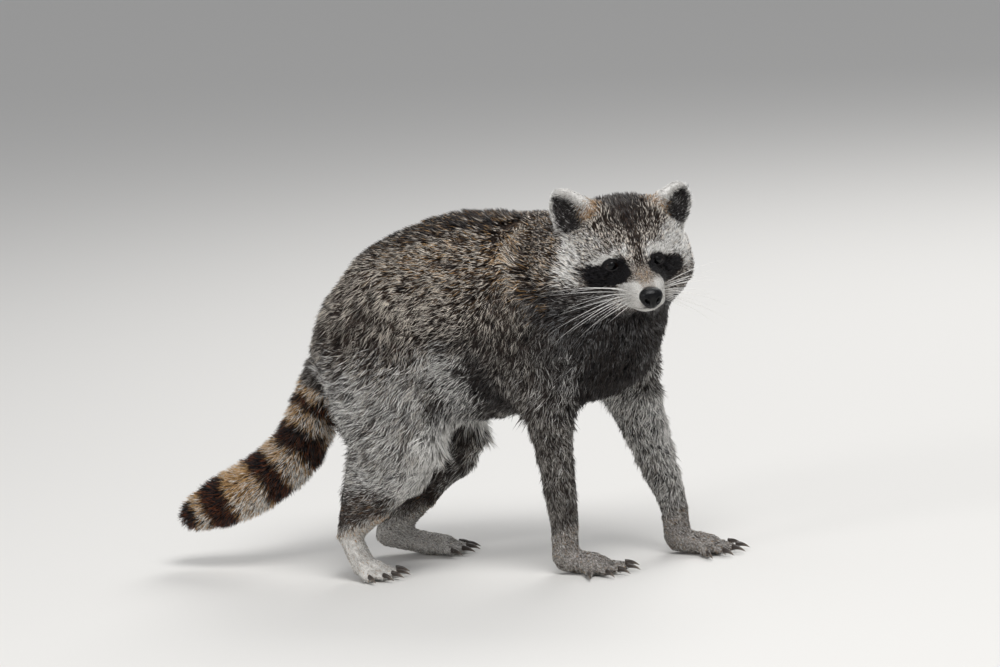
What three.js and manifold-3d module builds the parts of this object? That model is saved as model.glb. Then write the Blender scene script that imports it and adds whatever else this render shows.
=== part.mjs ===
// A raccoon standing still with its head turned to its right, life size.
// Millimetres, +Z up, +X towards the chest, +Y the animal's left side. The solids are the animal out to
// the tips of its coat, parted by thin cuts at the neck, jaw, limbs and tail.
import * as THREE from "three";
import { mergeVertices } from "three/addons/utils/BufferGeometryUtils.js";
import Module from "manifold-3d";

const wasm = await Module();
wasm.setup();

// ---------------------------------------------------------------- driving dimensions

const GAP = 0.4; // clear width of every cut between neighbours
const FAR = 900; // half the side of the blocks that cut along a plane

const BACK_TOP = 328; // highest point of the arched back
const RUMP_X = 11;
const LOIN_X = 56;
const BACK_X = 122; // where the back is highest
const SHOULDER_X = 188;
const BREAST_X = 244;

const EYES_AT = new THREE.Vector3(290, -60, 281); // midway between the eyes
const HEAD_YAW = -61; // degrees, to the animal's right
const HEAD_PITCH = 5; // nose down
const HEAD_ROLL = 1; // right side down
const EYE_SPREAD = 20.6; // from the middle of the face to each eye
const EYE_R = 7.6;
const EAR_SPREAD = 47;
const SNOUT_LENGTH = 53; // from the eyes to the middle of the nose pad

const CELLS = { trunk: 27, neck: 22, limb: 19, head: 15.5, snout: 10 }; // grid steps of the nets
const BLEND = { limb: 26, neck: 30, head: 16, tail: 16, face: 12 }; // widths of the soft joins

const TAIL_FRONT = -14; // the upright plane between the tail and the hind legs

// Half-widths across and along the body down each pair of limbs.
const HIND_RADII = {
  root: [40, 60],
  middle: [36, 56],
  bend: [27, 50],
  shaft: [20, 31],
  end: [13, 16],
  heel: [12, 13],
};
const FORE_RADII = {
  root: [32, 52],
  middle: [28, 38],
  bend: [19, 23],
  shaft: [15, 17],
  end: [12, 13],
  heel: [12, 12.5],
};
// The foreleg that reaches forward is fuller in the elbow and forearm.
const REACHING_RADII = { ...FORE_RADII, middle: [29, 43], bend: [21, 28], shaft: [16, 21] };

// Joint centres of each limb, from its root down to the ball of the foot, and which way the toes point.
// The haunch is a drum seen from the side, at x and z, that starts at the distance inner from the middle
// of the body. The block holds the limb below it, between two places along the body and up to its top.
const LIMBS = {
  hind_right: {
    radii: HIND_RADII,
    joints: {
      root: [36, -42, 215],
      bend: [53, -58, 122],
      end: [5, -53, 50],
      heel: [0, -53, 40],
      ball: [11, -53, 12],
    },
    heading: -14,
    haunch: { at: [36, 196], size: [65, 92], inner: 30 },
    block: { from: TAIL_FRONT, to: 134, top: 142 },
  },
  hind_left: {
    radii: HIND_RADII,
    joints: {
      root: [36, 42, 215],
      bend: [58, 55, 114],
      end: [18, 50, 40],
      heel: [0, 49, 19],
      ball: [44, 51, 9],
    },
    heading: 4,
    haunch: { at: [36, 196], size: [65, 92], inner: 30 },
    block: { from: TAIL_FRONT, to: 134, top: 142 },
  },
  fore_right: {
    radii: FORE_RADII,
    joints: {
      root: [196, -42, 230],
      bend: [200, -60, 150],
      end: [201, -46, 44],
      heel: [199, -45, 12],
      ball: [222, -46, 9],
    },
    heading: -22,
    haunch: { at: [200, 218], size: [48, 74], inner: 36 },
    block: { from: 150, to: 345, top: 150 },
  },
  fore_left: {
    radii: REACHING_RADII,
    joints: {
      root: [215, 34, 232],
      bend: [245, 47, 150],
      end: [280, 35, 42],
      heel: [281, 34, 12],
      ball: [302, 32, 9],
    },
    heading: -10,
    haunch: { at: [218, 218], size: [46, 74], inner: 32 },
    block: { from: 150, to: 345, top: 150 },
  },
};

const TOES = {
  hind: {
    length: 27,
    radius: 5.2,
    half: 14, // half the width of the foot
    spread: [-26, -10, 2, 14, 32], // degrees outwards, from the inner toe
    reach: [0.78, 0.97, 1, 0.95, 0.72], // shares of the longest toe
  },
  fore: {
    length: 29,
    radius: 4.6,
    half: 13,
    spread: [-44, -19, 0, 19, 46],
    reach: [0.8, 0.98, 1, 0.95, 0.72],
  },
};
const CLAW = { length: 10, root: 2.3, tip: 0.45, rise: 1, drop: 3.6 };
const BEND_WAY = { hind: [-0.15, 0, -1], fore: [0.15, 0, -1] }; // down the limb, where its lengths part
const END_WAY = { hind: [0.3, 0, -1], fore: [0.35, 0, -1] };

// The cuts between neck, head, muzzle, jaw and tail: a point and the way that they face. Those of the
// head are in its own frame.
const NECK_CUT = { at: [222, -10, 262], way: [0.7, -0.25, 0.62] };
const HEAD_CUT = { at: [-56, 0, -24], way: [1, 0, 0.6] };
const THROAT_CUT = { at: [0, 0, -47], way: [0, 0, 1] };
const SNOUT_CUT = { at: [20, 0, 0], way: [1, 0, 0.1] };
const JAW_BLOCK = { at: [32, 0, -51], size: [80, 34, 40] };
const TAIL_CUT = { at: [-30, 0, 174], way: [-0.38, 0, -0.92] };
const CHEST_X = BACK_X + 18; // where the chest meets the belly

// Boxes that the surface nets are made in.
const TRUNK_BOX = { low: [-92, -125, 92], high: [330, 125, 352] };
const COLLAR_BOX = { low: [125, -120, 150], high: [340, 110, 360] };
const SKULL_BOX = { before: [-108, -80, -72], after: [70, 108, 72] }; // from the middle of the eyes
const SNOUT_BOX = { before: [-30, -80, -60], after: [60, 40, 40] };
const LIMB_BOX = { back: 130, front: 115, side: 75, low: 70, high: 300 }; // from the elbow or knee

const TAIL = {
  line: [[-22, 0, 196], [-40, 0, 152], [-60, 2, 112], [-100, 6, 81], [-146, 12, 60], [-176, 17, 48]],
  radius: [22, 26, 28, 28.5, 26, 19],
  root: 0.1, // the share of the line that is inside the rump
  lengths: 5,
};

const NOSE_RADII = [7.5, 10.2, 8.3];
const SOCKET_RADII = [8, 10, 8.5]; // the hollow in front of each eye
const EAR = {
  at: [-36, EAR_SPREAD, 38.5],
  cocked: 3, // how much higher the right ear stands
  turn: 22, // outwards, degrees
  lean: 24,
  taper: 0.16, // narrower at the top and wider at the foot by this share
  outer: [10, 18.5, 22.5],
  inner: [9, 14, 17.5],
  scoop: [7.5, 0, 1.5],
};

const COLOURS = {
  grizzled: 0x6a5f57,
  pale_grey: 0x9a958e,
  white: 0xd8d5cf,
  dark: 0x2a2624,
  tan: 0x9c7a58,
  horn: 0x2c2826,
  black: 0x0c0b0c,
};

// ---------------------------------------------------------------- distance fields

// Joins two distances softly over the width k, so that a limb flows into the trunk.
function softMin(a, b, k) {
  const h = Math.max(k - Math.abs(a - b), 0) / k;
  return Math.min(a, b) - (h * h * k) / 4;
}

// The distance from a point, given in an ellipsoid's own axes, to its surface.
function ovalDistance(x, y, z, rx, ry, rz) {
  const k0 = Math.hypot(x / rx, y / ry, z / rz);
  const k1 = Math.hypot(x / (rx * rx), y / (ry * ry), z / (rz * rz));
  return k1 < 1e-9 ? -Math.min(rx, ry, rz) : (k0 * (k0 - 1)) / k1;
}

// An ellipsoid, upright unless a tilt about its Y axis is given, in degrees.
function oval(centre, radii, tilt = 0) {
  const c = Math.cos(THREE.MathUtils.degToRad(tilt));
  const s = Math.sin(THREE.MathUtils.degToRad(tilt));
  return (x, y, z) => {
    const dx = x - centre[0];
    const dz = z - centre[2];
    return ovalDistance(dx * c - dz * s, y - centre[1], dx * s + dz * c, ...radii);
  };
}

// An oval section swept along a smooth line. Each station has a centre, a half-width along the side
// direction and a half-height across it.
class Sweep {
  constructor(stations, side = new THREE.Vector3(0, 1, 0)) {
    this.stations = stations;
    this.side = side;
    const centres = stations.map(({ at }) => new THREE.Vector3(...at));
    this.line = new THREE.CatmullRomCurve3(centres, false, "centripetal");
    this.segments = this.segmentsOf(5 * (stations.length - 1));
  }

  sizeAt(u, key) {
    const spans = this.stations.length - 1;
    const i = Math.min(Math.floor(u * spans), spans - 1);
    return THREE.MathUtils.lerp(
      this.stations[i][key],
      this.stations[i + 1][key],
      THREE.MathUtils.smoothstep(u * spans - i, 0, 1),
    );
  }

  // The two directions across the line, for a direction along it.
  acrossOf(axis) {
    const across = this.side.clone().addScaledVector(axis, -this.side.dot(axis)).normalize();
    return [across, axis.clone().cross(across)];
  }

  segmentsOf(count) {
    return Array.from({ length: count }, (_, i) => {
      const [u, v] = [i / count, (i + 1) / count];
      const start = this.line.getPoint(u);
      const along = this.line.getPoint(v).sub(start);
      const axis = along.clone().normalize();
      const [across, up] = this.acrossOf(axis);
      const wide = [this.sizeAt(u, "wide"), this.sizeAt(v, "wide")];
      const high = [this.sizeAt(u, "high"), this.sizeAt(v, "high")];
      return { start, along, axis, across, up, wide, high, reach: along.lengthSq() };
    });
  }

  // The distance of a point from the swept surface, less than 0 inside it.
  distance(x, y, z) {
    let nearest = Infinity;
    for (const s of this.segments) {
      const [dx, dy, dz] = [x - s.start.x, y - s.start.y, z - s.start.z];
      const t = Math.min(Math.max((dx * s.along.x + dy * s.along.y + dz * s.along.z) / s.reach, 0), 1);
      const [ox, oy, oz] = [dx - t * s.along.x, dy - t * s.along.y, dz - t * s.along.z];
      const wide = s.wide[0] + t * (s.wide[1] - s.wide[0]);
      const high = s.high[0] + t * (s.high[1] - s.high[0]);
      const sideways = ox * s.across.x + oy * s.across.y + oz * s.across.z;
      const upwards = ox * s.up.x + oy * s.up.y + oz * s.up.z;
      const onwards = ox * s.axis.x + oy * s.axis.y + oz * s.axis.z;
      const far = ovalDistance(sideways, upwards, onwards, wide, high, Math.min(wide, high));
      nearest = Math.min(nearest, far);
    }
    return nearest;
  }

  // The swept surface as a closed tube of rings, with flat ends or domed ones.
  tube(sides, rings, domed = false) {
    const sections = Array.from({ length: rings }, (_, i) => ({ u: i / (rings - 1), size: 1, beyond: 0 }));
    if (domed) {
      sections.unshift({ u: 0, size: 0.5, beyond: -0.8 });
      sections.push({ u: 1, size: 0.5, beyond: 0.8 });
    }
    const vertices = sections.flatMap(({ u, size, beyond }) => {
      const axis = this.line.getTangent(u);
      const [across, up] = this.acrossOf(axis);
      const [wide, high] = [this.sizeAt(u, "wide"), this.sizeAt(u, "high")];
      const centre = this.line.getPoint(u).addScaledVector(axis, beyond * Math.min(wide, high));
      return Array.from({ length: sides }, (_, n) => {
        const angle = ((n + 0.5) / sides) * 2 * Math.PI;
        const rim = centre.clone().addScaledVector(across, size * wide * Math.cos(angle));
        return rim.addScaledVector(up, size * high * Math.sin(angle)).toArray();
      }).flat();
    });
    const faces = [];
    for (let i = 0; i < sections.length - 1; i++)
      for (let n = 0; n < sides; n++) {
        const [here, next] = [i * sides + n, i * sides + ((n + 1) % sides)];
        faces.push(here, next, next + sides, here, next + sides, here + sides);
      }
    const last = (sections.length - 1) * sides;
    for (let n = 1; n < sides - 1; n++) faces.push(0, n + 1, n, last, last + n, last + n + 1);
    return new THREE.BufferGeometry()
      .setAttribute("position", new THREE.Float32BufferAttribute(vertices, 3))
      .setIndex(faces);
  }
}

const station = (x, y, z, wide, high = wide) => ({ at: [x, y, z], wide, high });
const sideOf = (name) => (name.endsWith("left") ? 1 : -1);
const pairOf = (name) => name.split("_")[0];

// ---------------------------------------------------------------- the animal's masses

const trunk = new Sweep([
  station(RUMP_X, 0, 212, 46, 40),
  station(LOIN_X - 18, 0, 221, 70, 62),
  station(LOIN_X + 16, 0, BACK_TOP - 100, 82, 83),
  station(BACK_X, -3, BACK_TOP - 98, 86, 97),
  station(SHOULDER_X - 10, -7, BACK_TOP - 103, 79, 92),
  station(BREAST_X - 18, -12, 222, 66, 74),
  station(BREAST_X, -15, 208, 52, 55),
]);

const headFrame = new THREE.Matrix4()
  .makeTranslation(EYES_AT)
  .multiply(new THREE.Matrix4().makeRotationZ(THREE.MathUtils.degToRad(HEAD_YAW)))
  .multiply(new THREE.Matrix4().makeRotationY(THREE.MathUtils.degToRad(HEAD_PITCH)))
  .multiply(new THREE.Matrix4().makeRotationX(THREE.MathUtils.degToRad(HEAD_ROLL)));
const intoHead = headFrame.clone().invert();
const onHead = (x, y, z) => new THREE.Vector3(x, y, z).applyMatrix4(headFrame);

const nape = onHead(-52, 0, 0);
const neck = new Sweep([
  station(196, -9, 243, 66, 72),
  station(226, -13, 258, 62, 66),
  station(nape.x, nape.y, nape.z - 4, 56, 56),
]);

// The head in its own frame: x to the nose, y to the left, z up, from the point midway between the eyes.
const muzzle = new Sweep([
  station(-14, 0, -8, 32, 27),
  station(12, 0, -15, 23, 19),
  station(34, 0, -21, 17, 14.5),
  station(SNOUT_LENGTH - 6, 0, -23, 11, 10.5),
]);
const jaw = new Sweep([
  station(-22, 0, -30, 22, 13),
  station(12, 0, -29.5, 14, 8.5),
  station(36, 0, -31.5, 8.5, 5.5),
]);
const headMasses = [
  oval([-47, 0, 0], [54, 53, 43.5]),
  oval([-40, 34, -17], [32, 30, 26]),
  oval([-40, -36, -17], [32, 30, 26]),
  oval([-18, 0, 10], [27, 34, 22], 24),
  (x, y, z) => muzzle.distance(x, y, z),
  (x, y, z) => jaw.distance(x, y, z),
];

function headField(x, y, z) {
  const m = intoHead.elements;
  const hx = m[0] * x + m[4] * y + m[8] * z + m[12];
  const hy = m[1] * x + m[5] * y + m[9] * z + m[13];
  const hz = m[2] * x + m[6] * y + m[10] * z + m[14];
  return headMasses.reduce((d, mass) => softMin(d, mass(hx, hy, hz), BLEND.face), Infinity);
}

const tail = new Sweep(TAIL.line.map((at, i) => ({ at, wide: TAIL.radius[i], high: TAIL.radius[i] })));

// One limb from its root to its heel, wider fore and aft than across.
function legOf({ radii, joints }) {
  const midway = (a, b, t) => a.map((value, i) => THREE.MathUtils.lerp(value, b[i], t));
  const at = (point, [wide, high]) => ({ at: point, wide, high });
  return new Sweep([
    at(joints.root, radii.root),
    at(midway(joints.root, joints.bend, 0.55), radii.middle),
    at(joints.bend, radii.bend),
    at(midway(joints.bend, joints.end, 0.5), radii.shaft),
    at(joints.end, radii.end),
    at(joints.heel, radii.heel),
  ]);
}

const legs = new Map(Object.entries(LIMBS).map(([name, limb]) => [name, legOf(limb)]));

function bodyField(x, y, z) {
  let d = trunk.distance(x, y, z);
  for (const leg of legs.values()) d = softMin(d, leg.distance(x, y, z), BLEND.limb);
  d = softMin(d, neck.distance(x, y, z), BLEND.neck);
  d = softMin(d, headField(x, y, z), BLEND.head);
  return softMin(d, tail.distance(x, y, z), BLEND.tail);
}

// ---------------------------------------------------------------- meshes and cuts

// A three.js geometry as a solid that can be joined and cut.
function solidOf(geometry) {
  const bare = new THREE.BufferGeometry().setAttribute("position", geometry.getAttribute("position"));
  if (geometry.index) bare.setIndex(geometry.index);
  const merged = mergeVertices(bare, 1e-3);
  return new wasm.Manifold(
    new wasm.Mesh({
      numProp: 3,
      vertProperties: merged.attributes.position.array,
      triVerts: new Uint32Array(merged.index.array),
    }),
  );
}

function placed(geometry, frame) {
  return solidOf(geometry.applyMatrix4(frame));
}

// The corners of a grid cell, and its edges as the numbers and places of their two ends.
const CORNERS = [0, 1, 2, 3, 4, 5, 6, 7].map((c) => [c & 1, (c >> 1) & 1, c >> 2]);
const isEdge = (a, b) => Math.hypot(a[0] - b[0], a[1] - b[1], a[2] - b[2]) === 1;
const EDGES = CORNERS.flatMap((a, i) =>
  CORNERS.map((b, j) => [i, j, a, b]).filter(([, j, , b]) => j > i && isEdge(a, b)),
);

// The closed surface where a field is 0, as surface nets: each grid cell that the surface crosses gets
// one vertex, drawn onto the surface, and each crossed grid edge gets the quad round it. The border of
// the box counts as outside, which closes a body that leaves it.
function netOf(field, low, high, cell) {
  const counts = [0, 1, 2].map((a) => Math.ceil((high[a] - low[a]) / cell) + 1);
  const [nx, ny, nz] = counts;
  const index = (i, j, k) => i + nx * (j + ny * k);
  const values = new Float32Array(nx * ny * nz);
  const within = (i, j, k, rim) => Math.min(i, j, k) > 0 && i < nx - rim && j < ny - rim && k < nz - rim;
  for (let k = 0; k < nz; k++)
    for (let j = 0; j < ny; j++)
      for (let i = 0; i < nx; i++) {
        const value = field(low[0] + i * cell, low[1] + j * cell, low[2] + k * cell);
        values[index(i, j, k)] = within(i, j, k, 1) ? value : Math.max(value, cell / 2);
      }

  const points = [];
  const cellPoint = new Map();
  for (let k = 0; k < nz - 1; k++)
    for (let j = 0; j < ny - 1; j++)
      for (let i = 0; i < nx - 1; i++) {
        const at = CORNERS.map(([a, b, c]) => values[index(i + a, j + b, k + c)]);
        const sum = [0, 0, 0];
        let crossed = 0;
        for (const [p, q, a, b] of EDGES) {
          if (at[p] < 0 === at[q] < 0) continue;
          const t = at[p] / (at[p] - at[q]);
          for (let n = 0; n < 3; n++) sum[n] += a[n] + t * (b[n] - a[n]);
          crossed++;
        }
        if (!crossed) continue;
        const start = [i, j, k].map((n, axis) => low[axis] + (n + sum[axis] / crossed) * cell);
        cellPoint.set(index(i, j, k), points.length);
        points.push(within(i, j, k, 2) ? drawnOnto(field, start, cell) : start);
      }

  const faces = [];
  const strides = [1, nx, nx * ny];
  for (let k = 0; k < nz - 1; k++)
    for (let j = 0; j < ny - 1; j++)
      for (let i = 0; i < nx - 1; i++)
        for (let axis = 0; axis < 3; axis++) {
          const here = index(i, j, k);
          const inHere = values[here] < 0;
          if (inHere === values[here + strides[axis]] < 0) continue;
          const [u, v] = [strides[(axis + 1) % 3], strides[(axis + 2) % 3]];
          const ring = [here, here - u, here - u - v, here - v].map((n) => cellPoint.get(n));
          if (!inHere) ring.reverse();
          const gap = (a, b) => Math.hypot(...points[a].map((value, n) => value - points[b][n]));
          const [a, b, c, d] = ring;
          if (gap(a, c) < gap(b, d)) faces.push(a, b, c, a, c, d);
          else faces.push(a, b, d, b, c, d);
        }
  return new THREE.BufferGeometry()
    .setAttribute("position", new THREE.Float32BufferAttribute(points.flat(), 3))
    .setIndex(faces);
}

// A point moved along the field's slope until it lies on the surface, unless that is too far off.
function drawnOnto(field, start, cell) {
  const step = cell / 40;
  const farthest = cell * 0.6;
  const leastSlope = 0.05;
  let p = start;
  for (let pass = 0; pass < 3; pass++) {
    const d = field(...p);
    const slope = [0, 1, 2].map((axis) => {
      const q = [...p];
      q[axis] += step;
      return (field(...q) - d) / step;
    });
    const steepness = Math.max(slope[0] ** 2 + slope[1] ** 2 + slope[2] ** 2, leastSlope);
    p = p.map((value, axis) => value - (d * slope[axis]) / steepness);
  }
  const moved = Math.hypot(...p.map((value, axis) => value - start[axis]));
  return moved < farthest ? p : start;
}

// Everything on the far side of a plane through a point, as a block, less half the cut's width.
function beyond(point, normal, gap = GAP) {
  const n = new THREE.Vector3(...normal).normalize();
  const turn = new THREE.Quaternion().setFromUnitVectors(new THREE.Vector3(0, 0, 1), n);
  const centre = new THREE.Vector3(...point).addScaledVector(n, FAR + gap / 2);
  const block = new THREE.BoxGeometry(2 * FAR, 2 * FAR, 2 * FAR);
  return placed(block, new THREE.Matrix4().compose(centre, turn, new THREE.Vector3(1, 1, 1)));
}

const reversed = (normal) => normal.map((value) => -value);

// Parts a solid at one plane: what lies beyond it, and what lies short of it.
function partedAt(solid, point, normal) {
  return [solid.intersect(beyond(point, normal)), solid.intersect(beyond(point, reversed(normal)))];
}

// ---------------------------------------------------------------- rooms

// Each room is the space of one part: given a gap it comes out smaller by half of it, and with the
// gap negative it comes out larger, to cut the neighbours.

function beyondOnHead({ at, way }, gap) {
  const normal = onHead(...way).sub(onHead(0, 0, 0));
  return beyond(onHead(...at).toArray(), normal.toArray(), gap);
}

const neckRoom = (gap) => beyond(NECK_CUT.at, NECK_CUT.way, gap);
const snoutRoom = (gap) => beyondOnHead(SNOUT_CUT, gap);

const headRoom = (gap) =>
  beyondOnHead(HEAD_CUT, gap).intersect(beyondOnHead(THROAT_CUT, gap)).intersect(neckRoom(gap));

const jawRoom = (gap) => {
  const block = new THREE.BoxGeometry(...JAW_BLOCK.size.map((side) => side - gap));
  return placed(block.translate(...JAW_BLOCK.at), headFrame);
};

const tailRoom = (gap) =>
  beyond(TAIL_CUT.at, TAIL_CUT.way, gap).intersect(beyond([TAIL_FRONT, 0, 0], [-1, 0, 0], gap));

// A rounded drum over a shoulder or haunch, and a block that holds the rest of the limb below it.
function limbRoom(name, gap) {
  const { haunch, block } = LIMBS[name];
  const outwards = sideOf(name) * (FAR / 2 - gap / 2);
  const drum = new THREE.CylinderGeometry(1, 1, FAR, 12);
  drum.scale(haunch.size[0] - gap / 2, 1, haunch.size[1] - gap / 2);
  drum.translate(haunch.at[0], sideOf(name) * haunch.inner + outwards + sideOf(name) * gap, haunch.at[1]);
  const below = new THREE.BoxGeometry(block.to - block.from - gap, FAR, block.top + FAR / 2 - gap / 2);
  const height = (block.top - gap / 2 - FAR / 2) / 2;
  below.translate((block.from + block.to) / 2, sideOf(name) * gap + outwards, height);
  return solidOf(drum).add(solidOf(below));
}

// Cuts the rooms of other parts out of a solid.
const without = (solid, ...rooms) => rooms.reduce((rest, room) => rest.subtract(room(-GAP)), solid);

// ---------------------------------------------------------------- sub-parts

const FUR_ROUGHNESS = 0.85;
const HORN_ROUGHNESS = 0.45;

// The parts by node name, each a closed solid with its colour.
const parts = new Map();
function keep(name, solid, colour, roughness = FUR_ROUGHNESS) {
  parts.set(name, { solid, colour, roughness });
}

const flesh = ({ low, high }, cell) => solidOf(netOf(bodyField, low, high, cell));

// The level direction at an angle from straight ahead.
function levelWay(degrees) {
  const angle = THREE.MathUtils.degToRad(degrees);
  return new THREE.Vector3(Math.cos(angle), Math.sin(angle), 0);
}

// Five toes, spread from the ball of the foot, and their claws.
function toesOf(name) {
  const { joints, heading } = LIMBS[name];
  const { length, radius, spread, reach, half } = TOES[pairOf(name)];
  const ball = new THREE.Vector3(...joints.ball);
  const across = levelWay(heading + 90);
  return spread.map((degrees, i) => {
    const way = levelWay(heading + sideOf(name) * degrees);
    const knuckle = ball.clone().addScaledVector(across, (sideOf(name) * (i - 2) * half) / 2.5);
    knuckle.addScaledVector(levelWay(heading), reach[i] * 5);
    const along = (share, height) => {
      return knuckle.clone().addScaledVector(way, share * length * reach[i]).setZ(height);
    };
    const low = radius - 0.5;
    const round = (at, size) => ({ at: at.toArray(), wide: size, high: size });
    const toe = new Sweep([
      round(along(0.1, low + 2.4), radius * 0.85),
      round(along(0.6, low + 1.1), radius),
      round(along(1, low), radius * 0.6),
    ]);
    const tip = along(1, low).addScaledVector(way, GAP);
    const onwards = (share, size) => {
      const height = low + CLAW.rise - CLAW.drop * share * share;
      return round(tip.clone().addScaledVector(way, CLAW.length * share).setZ(height), size);
    };
    const claw = new Sweep([onwards(0, CLAW.root), onwards(0.55, CLAW.root * 0.75), onwards(1, CLAW.tip)]);
    return { toe: solidOf(toe.tube(5, 3)), claw: solidOf(claw.tube(4, 3)) };
  });
}

const REGIONS = { hind: ["thigh", "shank", "foot"], fore: ["upper_arm", "forearm", "hand"] };

function buildLimb(name) {
  const { joints } = LIMBS[name];
  const [pair, side] = name.split("_");
  const [region, lower, foot] = REGIONS[pair];
  const [x, y] = joints.bend;
  const box = {
    low: [x - LIMB_BOX.back, y - LIMB_BOX.side, LIMB_BOX.low],
    high: [x + LIMB_BOX.front, y + LIMB_BOX.side, LIMB_BOX.high],
  };
  const upper = flesh(box, CELLS.limb).intersect(limbRoom(name, GAP));
  const [, above] = partedAt(without(upper, neckRoom, tailRoom), joints.bend, BEND_WAY[pair]);
  keep(`${region}_${side}`, above, COLOURS.grizzled);
  const shin = new Sweep(legs.get(name).stations.slice(1));
  const leg = solidOf(shin.tube(10, 9, true)).intersect(limbRoom(name, GAP));
  const [below] = partedAt(leg, joints.bend, BEND_WAY[pair]);
  const [ankle, shaft] = partedAt(below, joints.end, END_WAY[pair]);
  keep(`${lower}_${side}`, shaft, COLOURS.pale_grey);

  const half = TOES[pair].half;
  const knuckles = new THREE.Vector3(...joints.ball).addScaledVector(levelWay(LIMBS[name].heading), half);
  const sole = new Sweep([
    { at: joints.heel, wide: half * 0.92, high: 11 },
    { at: joints.ball, wide: half + 3.5, high: 10.5 },
    { at: knuckles.setZ(7).toArray(), wide: half + 2, high: 9.5 },
  ]);
  const toes = toesOf(name);
  const paw = toes.reduce((solid, { toe }) => solid.add(toe), ankle.add(solidOf(sole.tube(8, 3, true))));
  const [fitted] = partedAt(paw, joints.end, END_WAY[pair]);
  keep(`${foot}_${side}`, fitted.intersect(aboveGround), COLOURS.pale_grey);
  toes.forEach(({ claw }, i) => {
    keep(`claw_${name}_${i + 1}`, claw.intersect(aboveGround), COLOURS.horn, HORN_ROUGHNESS);
  });
}

function buildTrunk() {
  const rooms = Object.keys(LIMBS).map((name) => (gap) => limbRoom(name, gap));
  const whole = flesh(TRUNK_BOX, CELLS.trunk);
  const torso = without(whole, ...rooms, neckRoom, tailRoom);
  const [front, rest] = partedAt(torso, [CHEST_X, 0, 0], [1, 0, 0]);
  const [belly, rump] = partedAt(rest, [LOIN_X, 0, 0], [1, 0, 0]);
  keep("chest", front, COLOURS.grizzled);
  keep("belly", belly, COLOURS.grizzled);
  keep("rump", rump, COLOURS.grizzled);
}

// The tail in equal lengths, cut square across its line.
function buildTail() {
  let rest = solidOf(tail.tube(11, 13, true)).intersect(tailRoom(GAP));
  for (let i = 1; i < TAIL.lengths; i++) {
    const along = TAIL.root + ((1 - TAIL.root) * i) / TAIL.lengths;
    const [at, way] = [tail.line.getPointAt(along), tail.line.getTangentAt(along)];
    const [tip, piece] = partedAt(rest, at.toArray(), way.toArray());
    keep(`tail_${i}`, piece, i % 2 ? COLOURS.dark : COLOURS.tan);
    rest = tip;
  }
  keep(`tail_${TAIL.lengths}`, rest, COLOURS.dark);
}

function ballOnHead(at, radii, grow, sides = 10) {
  const ball = new THREE.SphereGeometry(1, sides, sides - 3).scale(...radii.map((r) => r + grow));
  return placed(ball.translate(...at), headFrame);
}

// A cupped ear: a flat oval with its front scooped out, standing on the side of the crown.
function earSolid(side, grow) {
  const { at, cocked, turn, lean, taper, outer, inner, scoop } = EAR;
  const height = at[2] + (side < 0 ? cocked : 0);
  const frame = headFrame.clone();
  frame.multiply(new THREE.Matrix4().makeTranslation(at[0], side * at[1], height));
  frame.multiply(new THREE.Matrix4().makeRotationZ(THREE.MathUtils.degToRad(side * turn)));
  frame.multiply(new THREE.Matrix4().makeRotationX(THREE.MathUtils.degToRad(-side * lean)));
  const tapered = (radii, [x, y, z]) => {
    const geometry = new THREE.SphereGeometry(1, 10, 7);
    const position = geometry.getAttribute("position");
    for (let i = 0; i < position.count; i++) {
      position.setY(i, position.getY(i) * (1 - taper * position.getZ(i)));
    }
    return geometry.scale(...radii).translate(x, side * y, z);
  };
  const shell = placed(tapered(outer.map((r) => r + grow), [0, 0, 0]), frame);
  return grow ? shell : shell.subtract(placed(tapered(inner, scoop), frame));
}

function buildHead() {
  const fromEyes = (corner) => EYES_AT.toArray().map((value, axis) => value + corner[axis]);
  const boxOf = ({ before, after }) => ({ low: fromEyes(before), high: fromEyes(after) });
  const skullNet = flesh(boxOf(SKULL_BOX), CELLS.head);
  const snoutNet = flesh(boxOf(SNOUT_BOX), CELLS.snout);
  const collar = flesh(COLLAR_BOX, CELLS.neck);
  keep("neck", without(collar.intersect(neckRoom(GAP)), headRoom), COLOURS.grizzled);

  const noseAt = [SNOUT_LENGTH, 0, -21];
  const inset = (grow) => {
    const eyes = [-1, 1].map((side) => ballOnHead([1, side * EYE_SPREAD, 0], [EYE_R, EYE_R, EYE_R], grow));
    return [...eyes, ballOnHead(noseAt, NOSE_RADII, grow), earSolid(-1, grow), earSolid(1, grow)];
  };
  const sockets = [-1, 1].map((side) => ballOnHead([11, side * (EYE_SPREAD + 1.5), 0], SOCKET_RADII, 0, 8));
  const seats = [...inset(GAP), ...sockets];
  const seated = (solid) => seats.reduce((rest, seat) => rest.subtract(seat), solid);
  const snout = snoutNet.intersect(snoutRoom(GAP)).intersect(headRoom(GAP));
  keep("muzzle", seated(without(snout, jawRoom)), COLOURS.white);
  keep("lower_jaw", snoutNet.intersect(jawRoom(GAP)).intersect(headRoom(GAP)), COLOURS.white);
  keep("head", seated(without(skullNet.intersect(headRoom(GAP)), snoutRoom, jawRoom)), COLOURS.grizzled);
  const [eyeRight, eyeLeft, nose, earRight, earLeft] = inset(0);
  keep("nose", nose, COLOURS.black, 0.3);
  keep("eye_right", eyeRight, COLOURS.black, 0.1);
  keep("eye_left", eyeLeft, COLOURS.black, 0.1);
  keep("ear_right", earRight, COLOURS.white);
  keep("ear_left", earLeft, COLOURS.white);
}

const aboveGround = beyond([0, 0, 0], [0, 0, 1], 0);
buildTrunk();
buildTail();
buildHead();
for (const name of Object.keys(LIMBS)) buildLimb(name);

// ---------------------------------------------------------------- the model

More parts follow.
